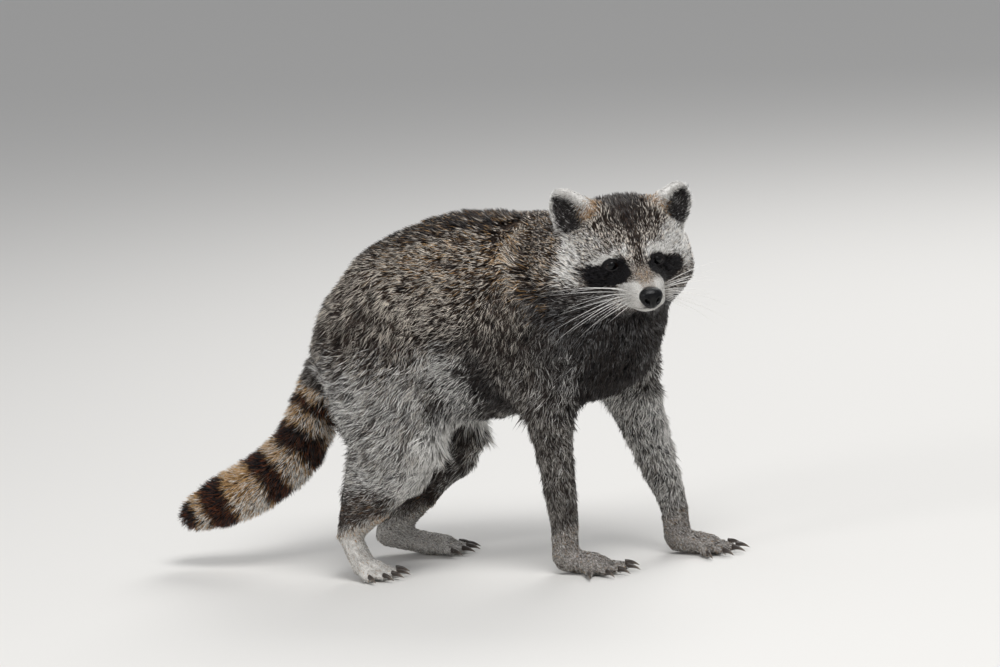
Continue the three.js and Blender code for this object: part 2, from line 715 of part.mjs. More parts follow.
function meshOf(name, { solid, colour, roughness }) {
  const made = solid.getMesh();
  const geometry = new THREE.BufferGeometry()
    .setAttribute("position", new THREE.BufferAttribute(new Float32Array(made.vertProperties), 3))
    .setIndex(new THREE.BufferAttribute(new Uint32Array(made.triVerts), 1));
  geometry.computeVertexNormals();
  const finish = new THREE.MeshStandardMaterial({ color: colour, roughness, metalness: 0 });
  const mesh = new THREE.Mesh(geometry, finish);
  mesh.name = name;
  return mesh;
}

const raccoon = new THREE.Group();
for (const [name, part] of parts) raccoon.add(meshOf(name, part));

// The origin is under the middle of the animal, on the ground.
const extent = new THREE.Box3().setFromObject(raccoon);
const middle = extent.getCenter(new THREE.Vector3());
raccoon.position.set(-middle.x, -middle.y, -extent.min.z);

export default raccoon;
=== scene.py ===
"""A raccoon standing with its head turned to its right, life size.

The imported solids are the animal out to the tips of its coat. One skin lies inside them by the depth of the
coat, with the eyelids and the mouth shaped in it, and a coat of solid tufts grows from the skin back out to
the solids' surface. Lengths in the classes are millimetres in the frame of the solids: +X towards the chest,
+Y to the animal's left, +Z up. Meshes are made in metres.
"""

import logging
import math
from dataclasses import dataclass, field
from enum import Enum

import bmesh
import bpy
import numpy as np
from mathutils import Matrix, Vector
from mathutils.bvhtree import BVHTree
from mathutils.kdtree import KDTree


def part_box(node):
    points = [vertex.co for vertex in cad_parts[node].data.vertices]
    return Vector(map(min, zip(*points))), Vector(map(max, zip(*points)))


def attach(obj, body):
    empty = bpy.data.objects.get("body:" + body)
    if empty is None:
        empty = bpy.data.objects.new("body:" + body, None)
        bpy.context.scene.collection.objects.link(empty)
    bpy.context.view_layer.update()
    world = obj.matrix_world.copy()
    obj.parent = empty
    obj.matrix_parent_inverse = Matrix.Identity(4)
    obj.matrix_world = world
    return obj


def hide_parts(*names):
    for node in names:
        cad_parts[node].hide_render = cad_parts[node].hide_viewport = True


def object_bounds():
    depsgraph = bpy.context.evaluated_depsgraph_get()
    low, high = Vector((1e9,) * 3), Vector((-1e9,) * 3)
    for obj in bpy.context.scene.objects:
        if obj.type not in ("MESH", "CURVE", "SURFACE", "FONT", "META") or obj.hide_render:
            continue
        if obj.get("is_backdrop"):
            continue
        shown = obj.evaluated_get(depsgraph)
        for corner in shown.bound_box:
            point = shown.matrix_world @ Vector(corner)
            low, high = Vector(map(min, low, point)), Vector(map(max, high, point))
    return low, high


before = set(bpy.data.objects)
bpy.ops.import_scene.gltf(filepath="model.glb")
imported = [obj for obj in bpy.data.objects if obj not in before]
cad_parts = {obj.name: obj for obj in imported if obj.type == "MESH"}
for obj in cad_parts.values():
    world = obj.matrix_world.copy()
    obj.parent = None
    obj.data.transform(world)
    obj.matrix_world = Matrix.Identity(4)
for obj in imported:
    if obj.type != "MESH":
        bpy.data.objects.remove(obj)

log = logging.getLogger("raccoon")

MM = 0.001  # metres
TINY = 1e-6  # metres; vertices nearer to each other than this are one
SIDES = {-1: "right", 1: "left"}  # by the sign of Y
TOES = range(1, 6)

Array = np.ndarray
Colour = tuple[float, float, float, float]
Triple = tuple[float, float, float]
Patch = tuple[tuple[float, ...], tuple[float, ...]]  # a middle, and a spread along each axis
Curve = tuple[tuple[float, ...], tuple[float, ...]]  # places, and the values there


# ---------- small maths


def unit(vectors: Array) -> Array:
    """Vectors scaled to length 1, along their last axis."""
    return vectors / np.maximum(np.linalg.norm(vectors, axis=-1, keepdims=True), 1e-9)


def step(low: float | Array, high: float | Array, value: Array) -> Array:
    """A smooth rise from 0 at low to 1 at high, which may also fall when high is the smaller.

    Args:
        low: Where the rise starts.
        high: Where it ends.
        value: What is measured.

    Returns:
        The share, from 0 to 1.
    """
    t = np.clip((value - low) / (high - low), 0, 1)
    return t * t * (3 - 2 * t)


def resampled(line: Array, count: int) -> Array:
    """A line's points set at equal distances.

    Args:
        line: Its points.
        count: How many are wanted.

    Returns:
        The new points.
    """
    lengths = np.linalg.norm(np.diff(line, axis=0), axis=1)
    reached = np.concatenate([[0], np.cumsum(lengths)])
    wanted = np.linspace(0, reached[-1], count)
    return np.stack([np.interp(wanted, reached, column) for column in line.T], 1)


def turn(degrees: float, axis: str) -> Array:
    """The matrix of a turn about one axis."""
    return np.array(Matrix.Rotation(math.radians(degrees), 3, axis))


def bell(values: Array, centre: tuple[float, ...], spread: tuple[float, ...]) -> Array:
    """A smooth bump that is 1 at a centre and fades over a spread along each axis."""
    return np.exp(-(((values - np.array(centre)) / np.array(spread)) ** 2).sum(-1))


def away(points: Array, place: Array | Triple = (0, 0, 0)) -> Array:
    """The distance of each point from a place."""
    return np.linalg.norm(points - np.asarray(place), axis=-1)


def laid(ways: Array, normals: Array) -> Array:
    """Directions without their share along the normals."""
    return ways - (ways * normals).sum(1, keepdims=True) * normals


def turned_to(values: Array, others: Array, share: Array) -> Array:
    """Values mixed with others, which have the share."""
    return values + share * (others - values)


def linear(*srgb: float) -> Colour:
    """A colour as the shaders take it.

    Args:
        srgb: Red, green and blue as seen on a screen, from 0 to 255.

    Returns:
        The linear colour with an alpha of 1.
    """
    parts = [c / 255 for c in srgb]
    bent = [c / 12.92 if c <= 0.04045 else ((c + 0.055) / 1.055) ** 2.4 for c in parts]
    return (*bent, 1.0)


# ---------- node graphs


class Socket:
    """A number that flows through a material, with arithmetic that adds Math nodes."""

    def __init__(self, graph: "Graph", output: bpy.types.NodeSocket) -> None:
        """Wraps an output socket of a graph."""
        self.graph = graph
        self.output = output

    def maths(self, operation: str, *values: "Socket | float", clamp: bool = False) -> "Socket":
        """The result of one Math node.

        Args:
            operation: Its operation.
            values: What goes into its sockets, in order.
            clamp: Whether the result is held between 0 and 1.

        Returns:
            The node's value.
        """
        settings = {"operation": operation, "use_clamp": clamp}
        return self.graph.node("ShaderNodeMath", settings, dict(enumerate(values)))

    def __add__(self, other: "Socket | float") -> "Socket":
        """The sum."""
        return self.maths("ADD", self, other)

    __radd__ = __add__

    def __sub__(self, other: "Socket | float") -> "Socket":
        """The difference."""
        return self.maths("SUBTRACT", self, other)

    def __rsub__(self, other: float) -> "Socket":
        """The difference, from a number."""
        return self.maths("SUBTRACT", other, self)

    def __mul__(self, other: "Socket | float") -> "Socket":
        """The product."""
        return self.maths("MULTIPLY", self, other)

    __rmul__ = __mul__

    def beats(self, seed: "Socket", edge: float = 5.0, start: float = 9.0) -> "Socket":
        """Whether a share is above a hair's own number, softly.

        Args:
            seed: The hair's number.
            edge: How steeply it turns over.
            start: How steeply it comes in above a share of 0.

        Returns:
            From 0 to 1.
        """
        return ((self - seed) * edge + 0.5).held() * (self * start).held()

    def held(self) -> "Socket":
        """The value held between 0 and 1."""
        return self.maths("ADD", self, 0.0, clamp=True)

    def rise(self, low: float, high: float) -> "Socket":
        """A straight rise from 0 at low to 1 at high."""
        return self.maths("MULTIPLY", self - low, 1 / (high - low), clamp=True)

    def fraction(self) -> "Socket":
        """What is left of the value beyond its whole number."""
        return self.maths("FRACT", self)


class Graph:
    """The node tree of one material."""

    def __init__(self, name: str) -> None:
        """Starts a material with an empty tree and its output.

        Args:
            name: The material's name.
        """
        self.material = bpy.data.materials.new(name)
        self.material.use_nodes = True
        self.tree = self.material.node_tree
        self.tree.nodes.clear()
        self.surface = self.tree.nodes.new("ShaderNodeOutputMaterial")

    def node(
        self,
        kind: str,
        settings: dict[str, object] | None = None,
        inputs: dict[str | int, object] | None = None,
        output: str | int = 0,
    ) -> Socket:
        """Adds a node.

        Args:
            kind: The node's type.
            settings: Its properties.
            inputs: Values or links by the name or number of a socket.
            output: The name or number of the socket that is wanted.

        Returns:
            The wanted output.
        """
        made = self.tree.nodes.new(kind)
        for key, value in (settings or {}).items():
            setattr(made, key, value)
        for key, value in (inputs or {}).items():
            if isinstance(value, Socket):
                self.tree.links.new(value.output, made.inputs[key])
            else:
                made.inputs[key].default_value = value
        return Socket(self, made.outputs[output])

    def attribute(self, name: str) -> list[Socket]:
        """The three numbers that a mesh holds under a name."""
        held = self.node("ShaderNodeAttribute", {"attribute_name": name}, output="Vector")
        return [self.node("ShaderNodeSeparateXYZ", inputs={0: held}, output=axis) for axis in "XYZ"]

    def place(self) -> Socket:
        """The place on the object."""
        return self.node("ShaderNodeTexCoord", output="Object")

    def noise(self, scale: float, detail: float = 2.0) -> Socket:
        """Cloudy noise over the object.

        Args:
            scale: Its fineness, in waves per metre.
            detail: How many finer layers it has.

        Returns:
            The noise, around 0.5.
        """
        inputs = {"Vector": self.place(), "Scale": scale, "Detail": detail}
        return self.node("ShaderNodeTexNoise", inputs=inputs)

    def streaks(self, along: Socket, around: Socket) -> Socket:
        """Noise over a flat map, around 0.5.

        Args:
            along: A place on the map.
            around: The other number of the place.

        Returns:
            The noise.
        """
        spot = self.node("ShaderNodeCombineXYZ", inputs={0: along, 1: around})
        settings = {"noise_dimensions": "2D"}
        return self.node("ShaderNodeTexNoise", settings, {"Vector": spot, "Scale": 1.0})

    def mix(self, share: Socket | float, first: object, second: object, blend: str = "MIX") -> Socket:
        """Two colours blended, the second by the share."""
        settings = {"data_type": "RGBA", "blend_type": blend}
        return self.node("ShaderNodeMix", settings, {0: share, 6: first, 7: second}, output=2)

    def bump(self, height: Socket, strength: float, distance: float) -> Socket:
        """A normal that follows a height, over a distance in metres."""
        inputs = {"Height": height, "Strength": strength, "Distance": distance}
        return self.node("ShaderNodeBump", inputs=inputs)

    def finish(self, **sockets: object) -> bpy.types.Material:
        """Closes the graph with a Principled shader.

        Args:
            sockets: Its sockets by name, with _ for a space.

        Returns:
            The material.
        """
        inputs = {name.replace("_", " "): value for name, value in sockets.items()}
        shader = self.node("ShaderNodeBsdfPrincipled", inputs=inputs)
        self.tree.links.new(shader.output, self.surface.inputs["Surface"])
        return self.material


# ---------- finishes


@dataclass(frozen=True)
class Pigments:
    """The colours of the hair, from the skin to the tip."""

    brown_root: Colour = linear(44, 35, 31)
    brown_shaft: Colour = linear(82, 67, 57)
    grey_root: Colour = linear(50, 48, 48)
    grey_shaft: Colour = linear(88, 84, 82)
    pale_tip: Colour = linear(246, 236, 222)
    black_tip: Colour = linear(42, 34, 30)
    grey_tip: Colour = linear(134, 134, 134)
    white_root: Colour = linear(176, 171, 164)
    white_tip: Colour = linear(252, 250, 246)
    black_fur: Colour = linear(17, 15, 16)
    # Painted sheen: the bluish, lighter tint that the black hairs take on towards their tips.
    black_shine: Colour = linear(44, 42, 48)
    tan_root: Colour = linear(124, 84, 54)
    tan_tip: Colour = linear(232, 190, 132)
    rust_root: Colour = linear(44, 24, 16)
    rust_tip: Colour = linear(128, 68, 32)
    third: tuple[float, float] = (7.31, 3.7)  # what makes a third number of a hair's two
    pale_edge: float = 7.0  # how steeply the tips turn pale
    band: Triple = (0.4, 0.25, 8.0)  # where a tip starts at the least, how much later it may, and how steeply

    def colour(self, graph: Graph, along: Socket, seeds: list[Socket]) -> Socket:
        """The colour of a hair, by the markings that skin and coat share.

        Args:
            graph: The material's graph.
            along: The share of the hair's length, from its root.
            seeds: Two numbers from 0 to 1 that differ from hair to hair.

        Returns:
            The colour.
        """
        black, white, tan = graph.attribute("markings")
        pale, grey, _ = graph.attribute("tone")
        first, second = seeds
        third = (first * self.third[0] + second * self.third[1]).fraction()
        start, later, steep = self.band
        root = graph.mix(grey, self.brown_root, self.grey_root)
        shaft = graph.mix(grey, self.brown_shaft, self.grey_shaft)
        light = (white * 1.6 - 0.6).held()
        shaft = graph.mix(light, graph.mix(along.rise(0.0, 0.55), root, shaft), self.white_root)
        bright = graph.mix(grey, self.pale_tip, self.grey_tip)
        dull = graph.mix(light, self.black_tip, self.grey_tip)
        tip = graph.mix(((pale - first) * self.pale_edge + 0.5).held(), dull, bright)
        grizzled = graph.mix(((along - start - later * second) * steep).held(), shaft, tip)
        golden = graph.mix(along.rise(0.1, 0.9), self.tan_root, self.tan_tip)
        rusty = graph.mix(along.rise(0.1, 0.9), self.rust_root, self.rust_tip)
        tanned = graph.mix(pale.rise(0.1, 0.6), rusty, golden)
        whitened = graph.mix(along.rise(0.0, 0.7), self.white_root, self.white_tip)
        # Black hairs lighten to the painted sheen towards their tips, more on some hairs than others.
        blackened = graph.mix(along.rise(0.5, 1.0) * second, self.black_fur, self.black_shine)
        mixed = graph.mix(tan.beats(second), grizzled, tanned)
        mixed = graph.mix(white.beats(third), mixed, whitened)
        return graph.mix(black.beats(first), mixed, blackened)


@dataclass(frozen=True)
class FurFinish:
    """Hair that is dark at the root, banded, and soft in its shine, with painted shade that darkens each hair
    further towards its root, deep in the coat.
    """

    roughness: float = 0.5
    gloss: float = 0.28
    # root_light, white_light and tan_light set the painted shade at the roots: how bright it leaves a dark, a
    # white and a tan hair's root.
    root_light: float = 0.2  # how bright a dark hair's root is
    white_light: float = 0.34  # how much brighter a white hair's is
    tan_light: float = 0.3
    shaded: float = 0.65  # the share of a hair that lies in the coat's shade

    def material(self) -> bpy.types.Material:
        """The coat's material.

        Returns:
            The material.
        """
        graph = Graph("fur")
        along, first, second = graph.attribute("strand")
        colour = Pigments().colour(graph, along, [first, second])
        _, white, tan = graph.attribute("markings")
        # Painted shade: each hair is multiplied darker towards its root, where it lies deep in the coat.
        depth = (self.root_light + self.white_light * white + self.tan_light * tan).held()
        shade = depth + (1.0 - depth) * along.rise(0.0, self.shaded)
        grey = graph.node("ShaderNodeCombineColor", inputs={0: shade, 1: shade, 2: shade})
        colour = graph.mix(1.0, colour, grey, "MULTIPLY")
        return graph.finish(Base_Color=colour, Roughness=self.roughness, Specular_IOR_Level=self.gloss)


@dataclass(frozen=True)
class HideFinish:
    """The skin and the flat underfur on it, in the coat's colours, with a fine nap."""

    roughness: float = 0.72
    smoothing: float = 0.3  # how much less rough bare leather is
    gloss: float = 0.2
    nap: float = 2400.0  # waves per metre
    grain: float = 500.0
    mottle: float = 900.0
    relief: tuple[float, float] = (0.6, 0.0006)  # the bump's strength, and its height in metres
    leather: tuple[Colour, Colour] = (linear(13, 11, 12), linear(27, 23, 24))

    def material(self) -> bpy.types.Material:
        """The skin's material.

        Returns:
            The material.
        """
        graph = Graph("hide")
        fine, other = graph.noise(self.nap, 1.0), graph.noise(self.nap * 0.7, 1.0)
        along = 0.3 + 0.3 * graph.noise(self.nap * 0.5, 2.0)
        seeds = [fine.rise(0.3, 0.7), other.rise(0.3, 0.7)]
        colour = Pigments().colour(graph, along, seeds)
        bare = graph.attribute("tone")[2]
        colour = graph.mix(bare, colour, graph.mix(graph.noise(self.mottle), *self.leather))
        normal = graph.bump(fine + graph.noise(self.grain), *self.relief)
        rough = self.roughness - self.smoothing * bare
        return graph.finish(Base_Color=colour, Roughness=rough, Normal=normal, Specular_IOR_Level=self.gloss)


@dataclass(frozen=True)
class EyeFinish:
    """A dark brown iris round a black pupil under a wet, clear surface."""

    pupil: float = 0.3  # edges of pupil and iris, in right angles from the middle
    iris: float = 0.62
    blur: tuple[float, float] = (0.06, 0.12)  # how soft those edges are
    fibres: tuple[float, float] = (3.0, 60.0)  # waves from the middle out, and round it
    browns: tuple[Colour, Colour] = (linear(15, 10, 8), linear(38, 23, 15))
    rim: Colour = linear(14, 9, 8)
    black: Colour = linear(4, 4, 5)
    coat_roughness: float = 0.03
    coat_index: float = 1.36

    def material(self) -> bpy.types.Material:
        """The eye's material.

        Returns:
            The material.
        """
        graph = Graph("eye")
        polar, around, _ = graph.attribute("polar")
        fibres = graph.streaks(polar * self.fibres[0], around * self.fibres[1])
        brown = graph.mix(fibres, *self.browns)
        brown = graph.mix(polar.rise(self.iris - self.blur[1], self.iris), brown, self.rim)
        colour = graph.mix(polar.rise(self.pupil, self.pupil + self.blur[0]), self.black, brown)
        wet = {"Coat_Weight": 1.0, "Coat_Roughness": self.coat_roughness, "Coat_IOR": self.coat_index}
        return graph.finish(Base_Color=colour, Roughness=0.5, Specular_IOR_Level=0.0, **wet)


@dataclass(frozen=True)
class NoseFinish:
    """Black, damp, pebbled leather."""

    pebble: float = 1400.0  # waves per metre
    mottle: float = 400.0
    damp: float = 700.0
    roughness: tuple[float, float] = (0.1, 0.12)  # at the least, and what the noise adds
    gloss: float = 0.25
    relief: tuple[float, float] = (0.35, 0.0002)
    blacks: tuple[Colour, Colour] = (linear(5, 5, 6), linear(15, 14, 16))

    def material(self) -> bpy.types.Material:
        """The nose pad's material.

        Returns:
            The material.
        """
        graph = Graph("nose")
        inputs = {"Vector": graph.place(), "Scale": self.pebble}
        cells = graph.node("ShaderNodeTexVoronoi", {"feature": "DISTANCE_TO_EDGE"}, inputs)
        colour = graph.mix(graph.noise(self.mottle, 3.0), *self.blacks)
        normal = graph.bump(cells.rise(0.0, 0.35), *self.relief)
        rough = self.roughness[0] + self.roughness[1] * graph.noise(self.damp)
        return graph.finish(Base_Color=colour, Roughness=rough, Normal=normal, Specular_IOR_Level=self.gloss)


@dataclass(frozen=True)
class HornFinish:
    """Dark horn that pales towards the tip, with fine lengthwise streaks."""

    fibres: tuple[float, float] = (1.5, 24.0)  # waves along the claw, and round it
    roughness: tuple[float, float] = (0.3, 0.15)
    relief: tuple[float, float] = (0.3, 0.0002)
    greys: tuple[Colour, Colour] = (linear(36, 30, 27), linear(78, 68, 60))
    tip: Colour = linear(120, 108, 96)

    def material(self) -> bpy.types.Material:
        """The claws' material.

        Returns:
            The material.
        """
        graph = Graph("horn")
        along, around, _ = graph.attribute("polar")
        streaks = graph.streaks(along * self.fibres[0], around * self.fibres[1])
        colour = graph.mix(along.rise(0.5, 1.0), graph.mix(streaks, *self.greys), self.tip)
        rough = self.roughness[0] + self.roughness[1] * streaks
        return graph.finish(Base_Color=colour, Roughness=rough, Normal=graph.bump(streaks, *self.relief))


@dataclass(frozen=True)
class BristleFinish:
    """White whiskers."""

    roughness: float = 0.35
    root: Colour = linear(150, 146, 140)
    white: Colour = linear(250, 248, 244)

    def material(self) -> bpy.types.Material:
        """The whiskers' material.

        Returns:
            The material.
        """
        graph = Graph("bristle")
        along, seed, _ = graph.attribute("strand")
        colour = graph.mix(along.rise(0.0, 0.3) * (0.8 + 0.2 * seed), self.root, self.white)
        return graph.finish(Base_Color=colour, Roughness=self.roughness)


# ---------- landmarks


@dataclass
class Place:
    """A set of axes with an origin: rows of the turn are its forward, left and up axes."""

    origin: Array
    axes: Array

    def inside(self, points: Array) -> Array:
        """Points of the model in this place's own axes."""
        return (points - self.origin) @ self.axes.T

    def outside(self, points: Array) -> Array:
        """Points of this place in the model's axes."""
        return np.asarray(points, float) @ self.axes + self.origin

    def way(self, directions: Array) -> Array:
        """Directions of this place in the model's axes."""
        return np.asarray(directions, float) @ self.axes

    def turned(self, origin: Triple, *turns: tuple[float, str]) -> "Place":
        """A place on this one.

        Args:
            origin: Its origin in this place's axes.
            turns: Its turns about its own axes in order, each in degrees with an axis.

        Returns:
            The new place.
        """
        axes = np.eye(3)
        for degrees, axis in turns:
            axes = axes @ turn(degrees, axis)
        return Place(self.outside(origin), axes.T @ self.axes)


def box_of(node: str) -> tuple[Array, Array]:
    """A solid's lowest and highest corners in millimetres."""
    low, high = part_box(node)
    return np.array(low) / MM, np.array(high) / MM


def centre_of(node: str) -> Array:
    """The middle of a solid's box, in millimetres."""
    return sum(box_of(node)) / 2


@dataclass
class Landmarks:
    """Places on the animal, worked out from its solids."""

    nose_drop: float = 21.6  # degrees that the nose lies below the eyes' level
    ear_turn: float = 22.0  # outwards
    ear_lean: float = 24.0
    tail_lengths: int = 5
    tail_root: float = 0.62  # how far the line goes on beyond its solids' middles, in steps between them
    tail_tip: float = 0.72
    tail_points: int = 120
    tail_evening: int = 60

    def __post_init__(self) -> None:
        """Measures the solids."""
        right, left, nose = centre_of("eye_right"), centre_of("eye_left"), centre_of("nose")
        middle = (right + left) / 2
        leftward = unit(left - right)
        forward = unit((nose - middle) - ((nose - middle) @ leftward) * leftward)
        upward = np.cross(forward, leftward)
        tilt = math.radians(self.nose_drop)
        ahead = forward * math.cos(tilt) + upward * math.sin(tilt)
        self.head = Place(middle, np.stack([ahead, leftward, np.cross(ahead, leftward)]))
        self.eyes = {-1: right, 1: left}
        self.nose = nose
        self.ears = {side: self.ear_place(side) for side in SIDES}
        self.tail = self.tail_line()

    def ear_place(self, side: int) -> Place:
        """The axes of one ear, from the middle of its solid.

        Args:
            side: -1 for the right ear, 1 for the left.

        Returns:
            Its axes.
        """
        middle = centre_of(f"ear_{SIDES[side]}")
        turns = ((side * self.ear_turn, "Z"), (-side * self.ear_lean, "X"))
        return self.head.turned(tuple(self.head.inside(middle)), *turns)

    def tail_line(self) -> Array:
        """Points at equal distances down the middle of the tail.

        Returns:
            The points, from the rump to the tip.
        """
        middles = [self.middle_of(f"tail_{i + 1}") for i in range(self.tail_lengths)]
        root = middles[0] + self.tail_root * (middles[0] - middles[1])
        tip = middles[-1] + self.tail_tip * (middles[-1] - middles[-2])
        line = resampled(np.array([root, *middles, tip]), self.tail_points)
        for _ in range(self.tail_evening):
            line[1:-1] = (line[:-2] + line[2:]) / 2
        return resampled(line, self.tail_points)

    @staticmethod
    def middle_of(node: str) -> Array:
        """The mean place of a solid's corners, in millimetres."""
        return np.array([v.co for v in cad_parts[node].data.vertices]).mean(0) / MM


# ---------- the surface


class Surface:
    """A triangle mesh as arrays, with fields of numbers on its vertices."""

    def __init__(self, points: Array, triangles: Array) -> None:
        """Keeps the mesh and works out which vertices are neighbours.

        Args:
            points: The vertices.
            triangles: Three vertices' numbers a row.
        """
        self.points, self.triangles = points, triangles
        ends = np.concatenate([triangles[:, [0, 1]], triangles[:, [1, 2]], triangles[:, [2, 0]]])
        ends = np.unique(np.sort(ends, 1), axis=0)
        self.start = np.concatenate([ends[:, 0], ends[:, 1]])
        self.end = np.concatenate([ends[:, 1], ends[:, 0]])
        self.degree = np.maximum(np.bincount(self.start, minlength=len(points)), 1)
        self.fields: dict[str, Array] = {}

    def gathered(self, at: Array, values: Array) -> Array:
        """The sum of rows of values at each vertex.

        Args:
            at: The vertex of each row.
            values: The rows.

        Returns:
            One row for each vertex.
        """
        size = len(self.points)
        return np.stack([np.bincount(at, column, size) for column in values.T], 1)

    def spread(self, values: Array, rounds: int, share: Array | float = 0.5) -> Array:
        """Values evened out over the surface.

        Args:
            values: One number or row of numbers for each vertex.
            rounds: How often each vertex takes on its neighbours' mean.
            share: By how much it does, which may differ from vertex to vertex.

        Returns:
            The evened values, in the same shape.
        """
        rows = values.reshape(len(self.points), -1).astype(float)
        weight = np.broadcast_to(np.asarray(share, float).reshape(-1, 1), (len(rows), 1))
        for _ in range(rounds):
            mean = self.gathered(self.start, rows[self.end]) / self.degree[:, None]
            rows = rows + weight * (mean - rows)
        return rows.reshape(values.shape)

    def normals(self) -> Array:
        """The outward normal at each vertex.

        Returns:
            Directions of length 1.
        """
        a, b, c = (self.points[self.triangles[:, i]] for i in range(3))
        across = np.cross(b - a, c - a)
        return unit(self.gathered(self.triangles.ravel(), np.repeat(across, 3, axis=0)))

    def areas(self) -> Array:
        """The area of each triangle."""
        a, b, c = (self.points[self.triangles[:, i]] for i in range(3))
        return np.linalg.norm(np.cross(b - a, c - a), axis=1) / 2

    def bend(self, normals: Array, ways: Array) -> Array:
        """How sharply the surface bends away along a direction at each vertex, as 1 over a radius.

        Args:
            normals: The surface's normals.
            ways: The direction at each vertex.

        Returns:
            A number for each vertex.
        """
        apart = self.points[self.end] - self.points[self.start]
        along = (apart * ways[self.start]).sum(1)
        reach = np.maximum(np.linalg.norm(apart, axis=1), 1e-6)
        weight = np.maximum(along / reach, 0) ** 4
        change = ((normals[self.end] - normals[self.start]) * ways[self.start]).sum(1)
        rates = change / np.where(np.abs(along) < 1e-3, 1e-3, along)
        sums = self.gathered(self.start, np.stack([rates * weight, weight], 1))
        return sums[:, 0] / np.maximum(sums[:, 1], 1e-3)

    def joined(self, points: Array, triangles: Array, fields: dict[str, Array]) -> "Surface":
        """This surface with another set beside it.

        Args:
            points: The other's vertices.
            triangles: Its triangles, numbered from 0.
            fields: Its fields, with a row for each vertex and the same names.

        Returns:
            Both in one.
        """
        both = Surface(*merged([(self.points, self.triangles), (points, triangles)]))
        both.fields = {key: np.concatenate([self.fields[key], fields[key]]) for key in self.fields}
        return both


def merged(parts: list[tuple[Array, Array]]) -> tuple[Array, Array]:
    """Several meshes as one.

    Args:
        parts: The vertices and triangles of each.

    Returns:
        The vertices and triangles of all.
    """
    starts = np.cumsum([0, *(len(points) for points, _ in parts)])
    triangles = [faces + start for (_, faces), start in zip(parts, starts)]
    return np.concatenate([points for points, _ in parts]), np.concatenate(triangles)


def bands(rows: int, size: int) -> Array:
    """The triangles between rings of vertices, which are numbered ring by ring.

    Args:
        rows: How many rings there are.
        size: How many vertices a ring has.

    Returns:
        The triangles.
    """
    low = (np.arange(rows - 1) * size)[:, None] + np.arange(size)
    after = low - np.arange(size) + (np.arange(size) + 1) % size
    halves = [np.stack([low, after, after + size], -1), np.stack([low, after + size, low + size], -1)]
    return np.concatenate(halves).reshape(-1, 3)


def tube(line: Array, across: Array, over: Array, size: int) -> Array:
    """The vertices of a tube: its rings, and then the middles of its two ends.

    Args:
        line: The middles of its rings.
        across: From each middle to the tube's side.
        over: From each middle to its top.
        size: The number of vertices in a ring.

    Returns:
        The vertices.
    """
    angle = np.arange(size) * 2 * math.pi / size
    rings = line[:, None] + across[:, None] * np.cos(angle)[:, None] + over[:, None] * np.sin(angle)[:, None]
    return np.concatenate([rings.reshape(-1, 3), line[:1], line[-1:]])


def tube_faces(rows: int, size: int) -> Array:
    """The triangles of a closed tube.

    Args:
        rows: How many rings there are.
        size: How many vertices a ring has.

    Returns:
        The triangles, for the vertices that tube gives.
    """
    ring = np.arange(size)
    after = (ring + 1) % size
    start, last = rows * size, (rows - 1) * size
    ends = [
        np.stack([np.full(size, start), after, ring], 1),
        np.stack([last + ring, last + after, np.full(size, start + 1)], 1),
    ]
    return np.concatenate([bands(rows, size), *ends])


def arrays_of(mesh: bmesh.types.BMesh) -> tuple[Array, Array]:
    """A mesh's vertices and triangles, after which it is freed.

    Args:
        mesh: The mesh.

    Returns:
        The vertices and the triangles.
    """
    points = np.array([v.co for v in mesh.verts])
    triangles = np.array([[v.index for v in f.verts] for f in mesh.faces])
    mesh.free()
    return points, triangles


def ball(subdivisions: int, radius: float) -> tuple[Array, Array]:
    """The vertices and triangles of a ball.

    Args:
        subdivisions: How fine it is.
        radius: Its radius.

    Returns:
        The vertices and the triangles.
    """
    mesh = bmesh.new()
    bmesh.ops.create_icosphere(mesh, subdivisions=subdivisions, radius=radius)
    return arrays_of(mesh)


def linked(name: str, data: bpy.types.ID | None) -> bpy.types.Object:
    """An object with this data, in the scene.

    Args:
        name: Its name.
        data: The data.

    Returns:
        The object.
    """
    made = bpy.data.objects.new(name, data)
    bpy.context.scene.collection.objects.link(made)
    return made


def mesh_of(name: str, points: Array, triangles: Array, vectors: dict[str, Array]) -> bpy.types.Object:
    """A smooth mesh object.

    Args:
        name: Its name.
        points: Its vertices in millimetres.
        triangles: Its triangles.
        vectors: Rows of three numbers for each vertex, by the name that the materials read.

    Returns:
        The object, in the scene.
    """
    data = bpy.data.meshes.new(name)
    data.vertices.add(len(points))
    data.vertices.foreach_set("co", (points * MM).astype(np.float32).ravel())
    data.loops.add(triangles.size)
    data.loops.foreach_set("vertex_index", triangles.astype(np.int32).ravel())
    data.polygons.add(len(triangles))
    data.polygons.foreach_set("loop_start", np.arange(0, triangles.size, 3, dtype=np.int32))
    data.polygons.foreach_set("use_smooth", np.ones(len(triangles), bool))
    for key, rows in vectors.items():
        held = data.attributes.new(key, "FLOAT_VECTOR", "POINT")
        held.data.foreach_set("vector", rows.astype(np.float32).ravel())
    data.update(calc_edges=True)
    data.validate()
    return linked(name, data)


def place_piece(piece: bpy.types.Object, material: bpy.types.Material, slot: str, *nodes: str) -> None:
    """Dresses a piece and hands it over to the frame.

    Args:
        piece: The piece.
        material: Its finish.
        slot: The record's material slot; not used.
        nodes: The solids that it stands for.
    """
    piece.data.materials.append(material)
    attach(piece, "root")
    if nodes:
        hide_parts(*nodes)
    log.info("%s: %d faces", piece.name, len(piece.data.polygons))


# ---------- regions


@dataclass(frozen=True)
class Pelt:
    """The coat of one region: depth, length and width of its tufts, how many grow on a square millimetre,
    the way they lie, and how far the surface is evened."""

    depth: float
    length: float
    width: float
    density: float
    lie: Triple = (-1.0, 0.0, 0.0)
    evening: float = 1.0


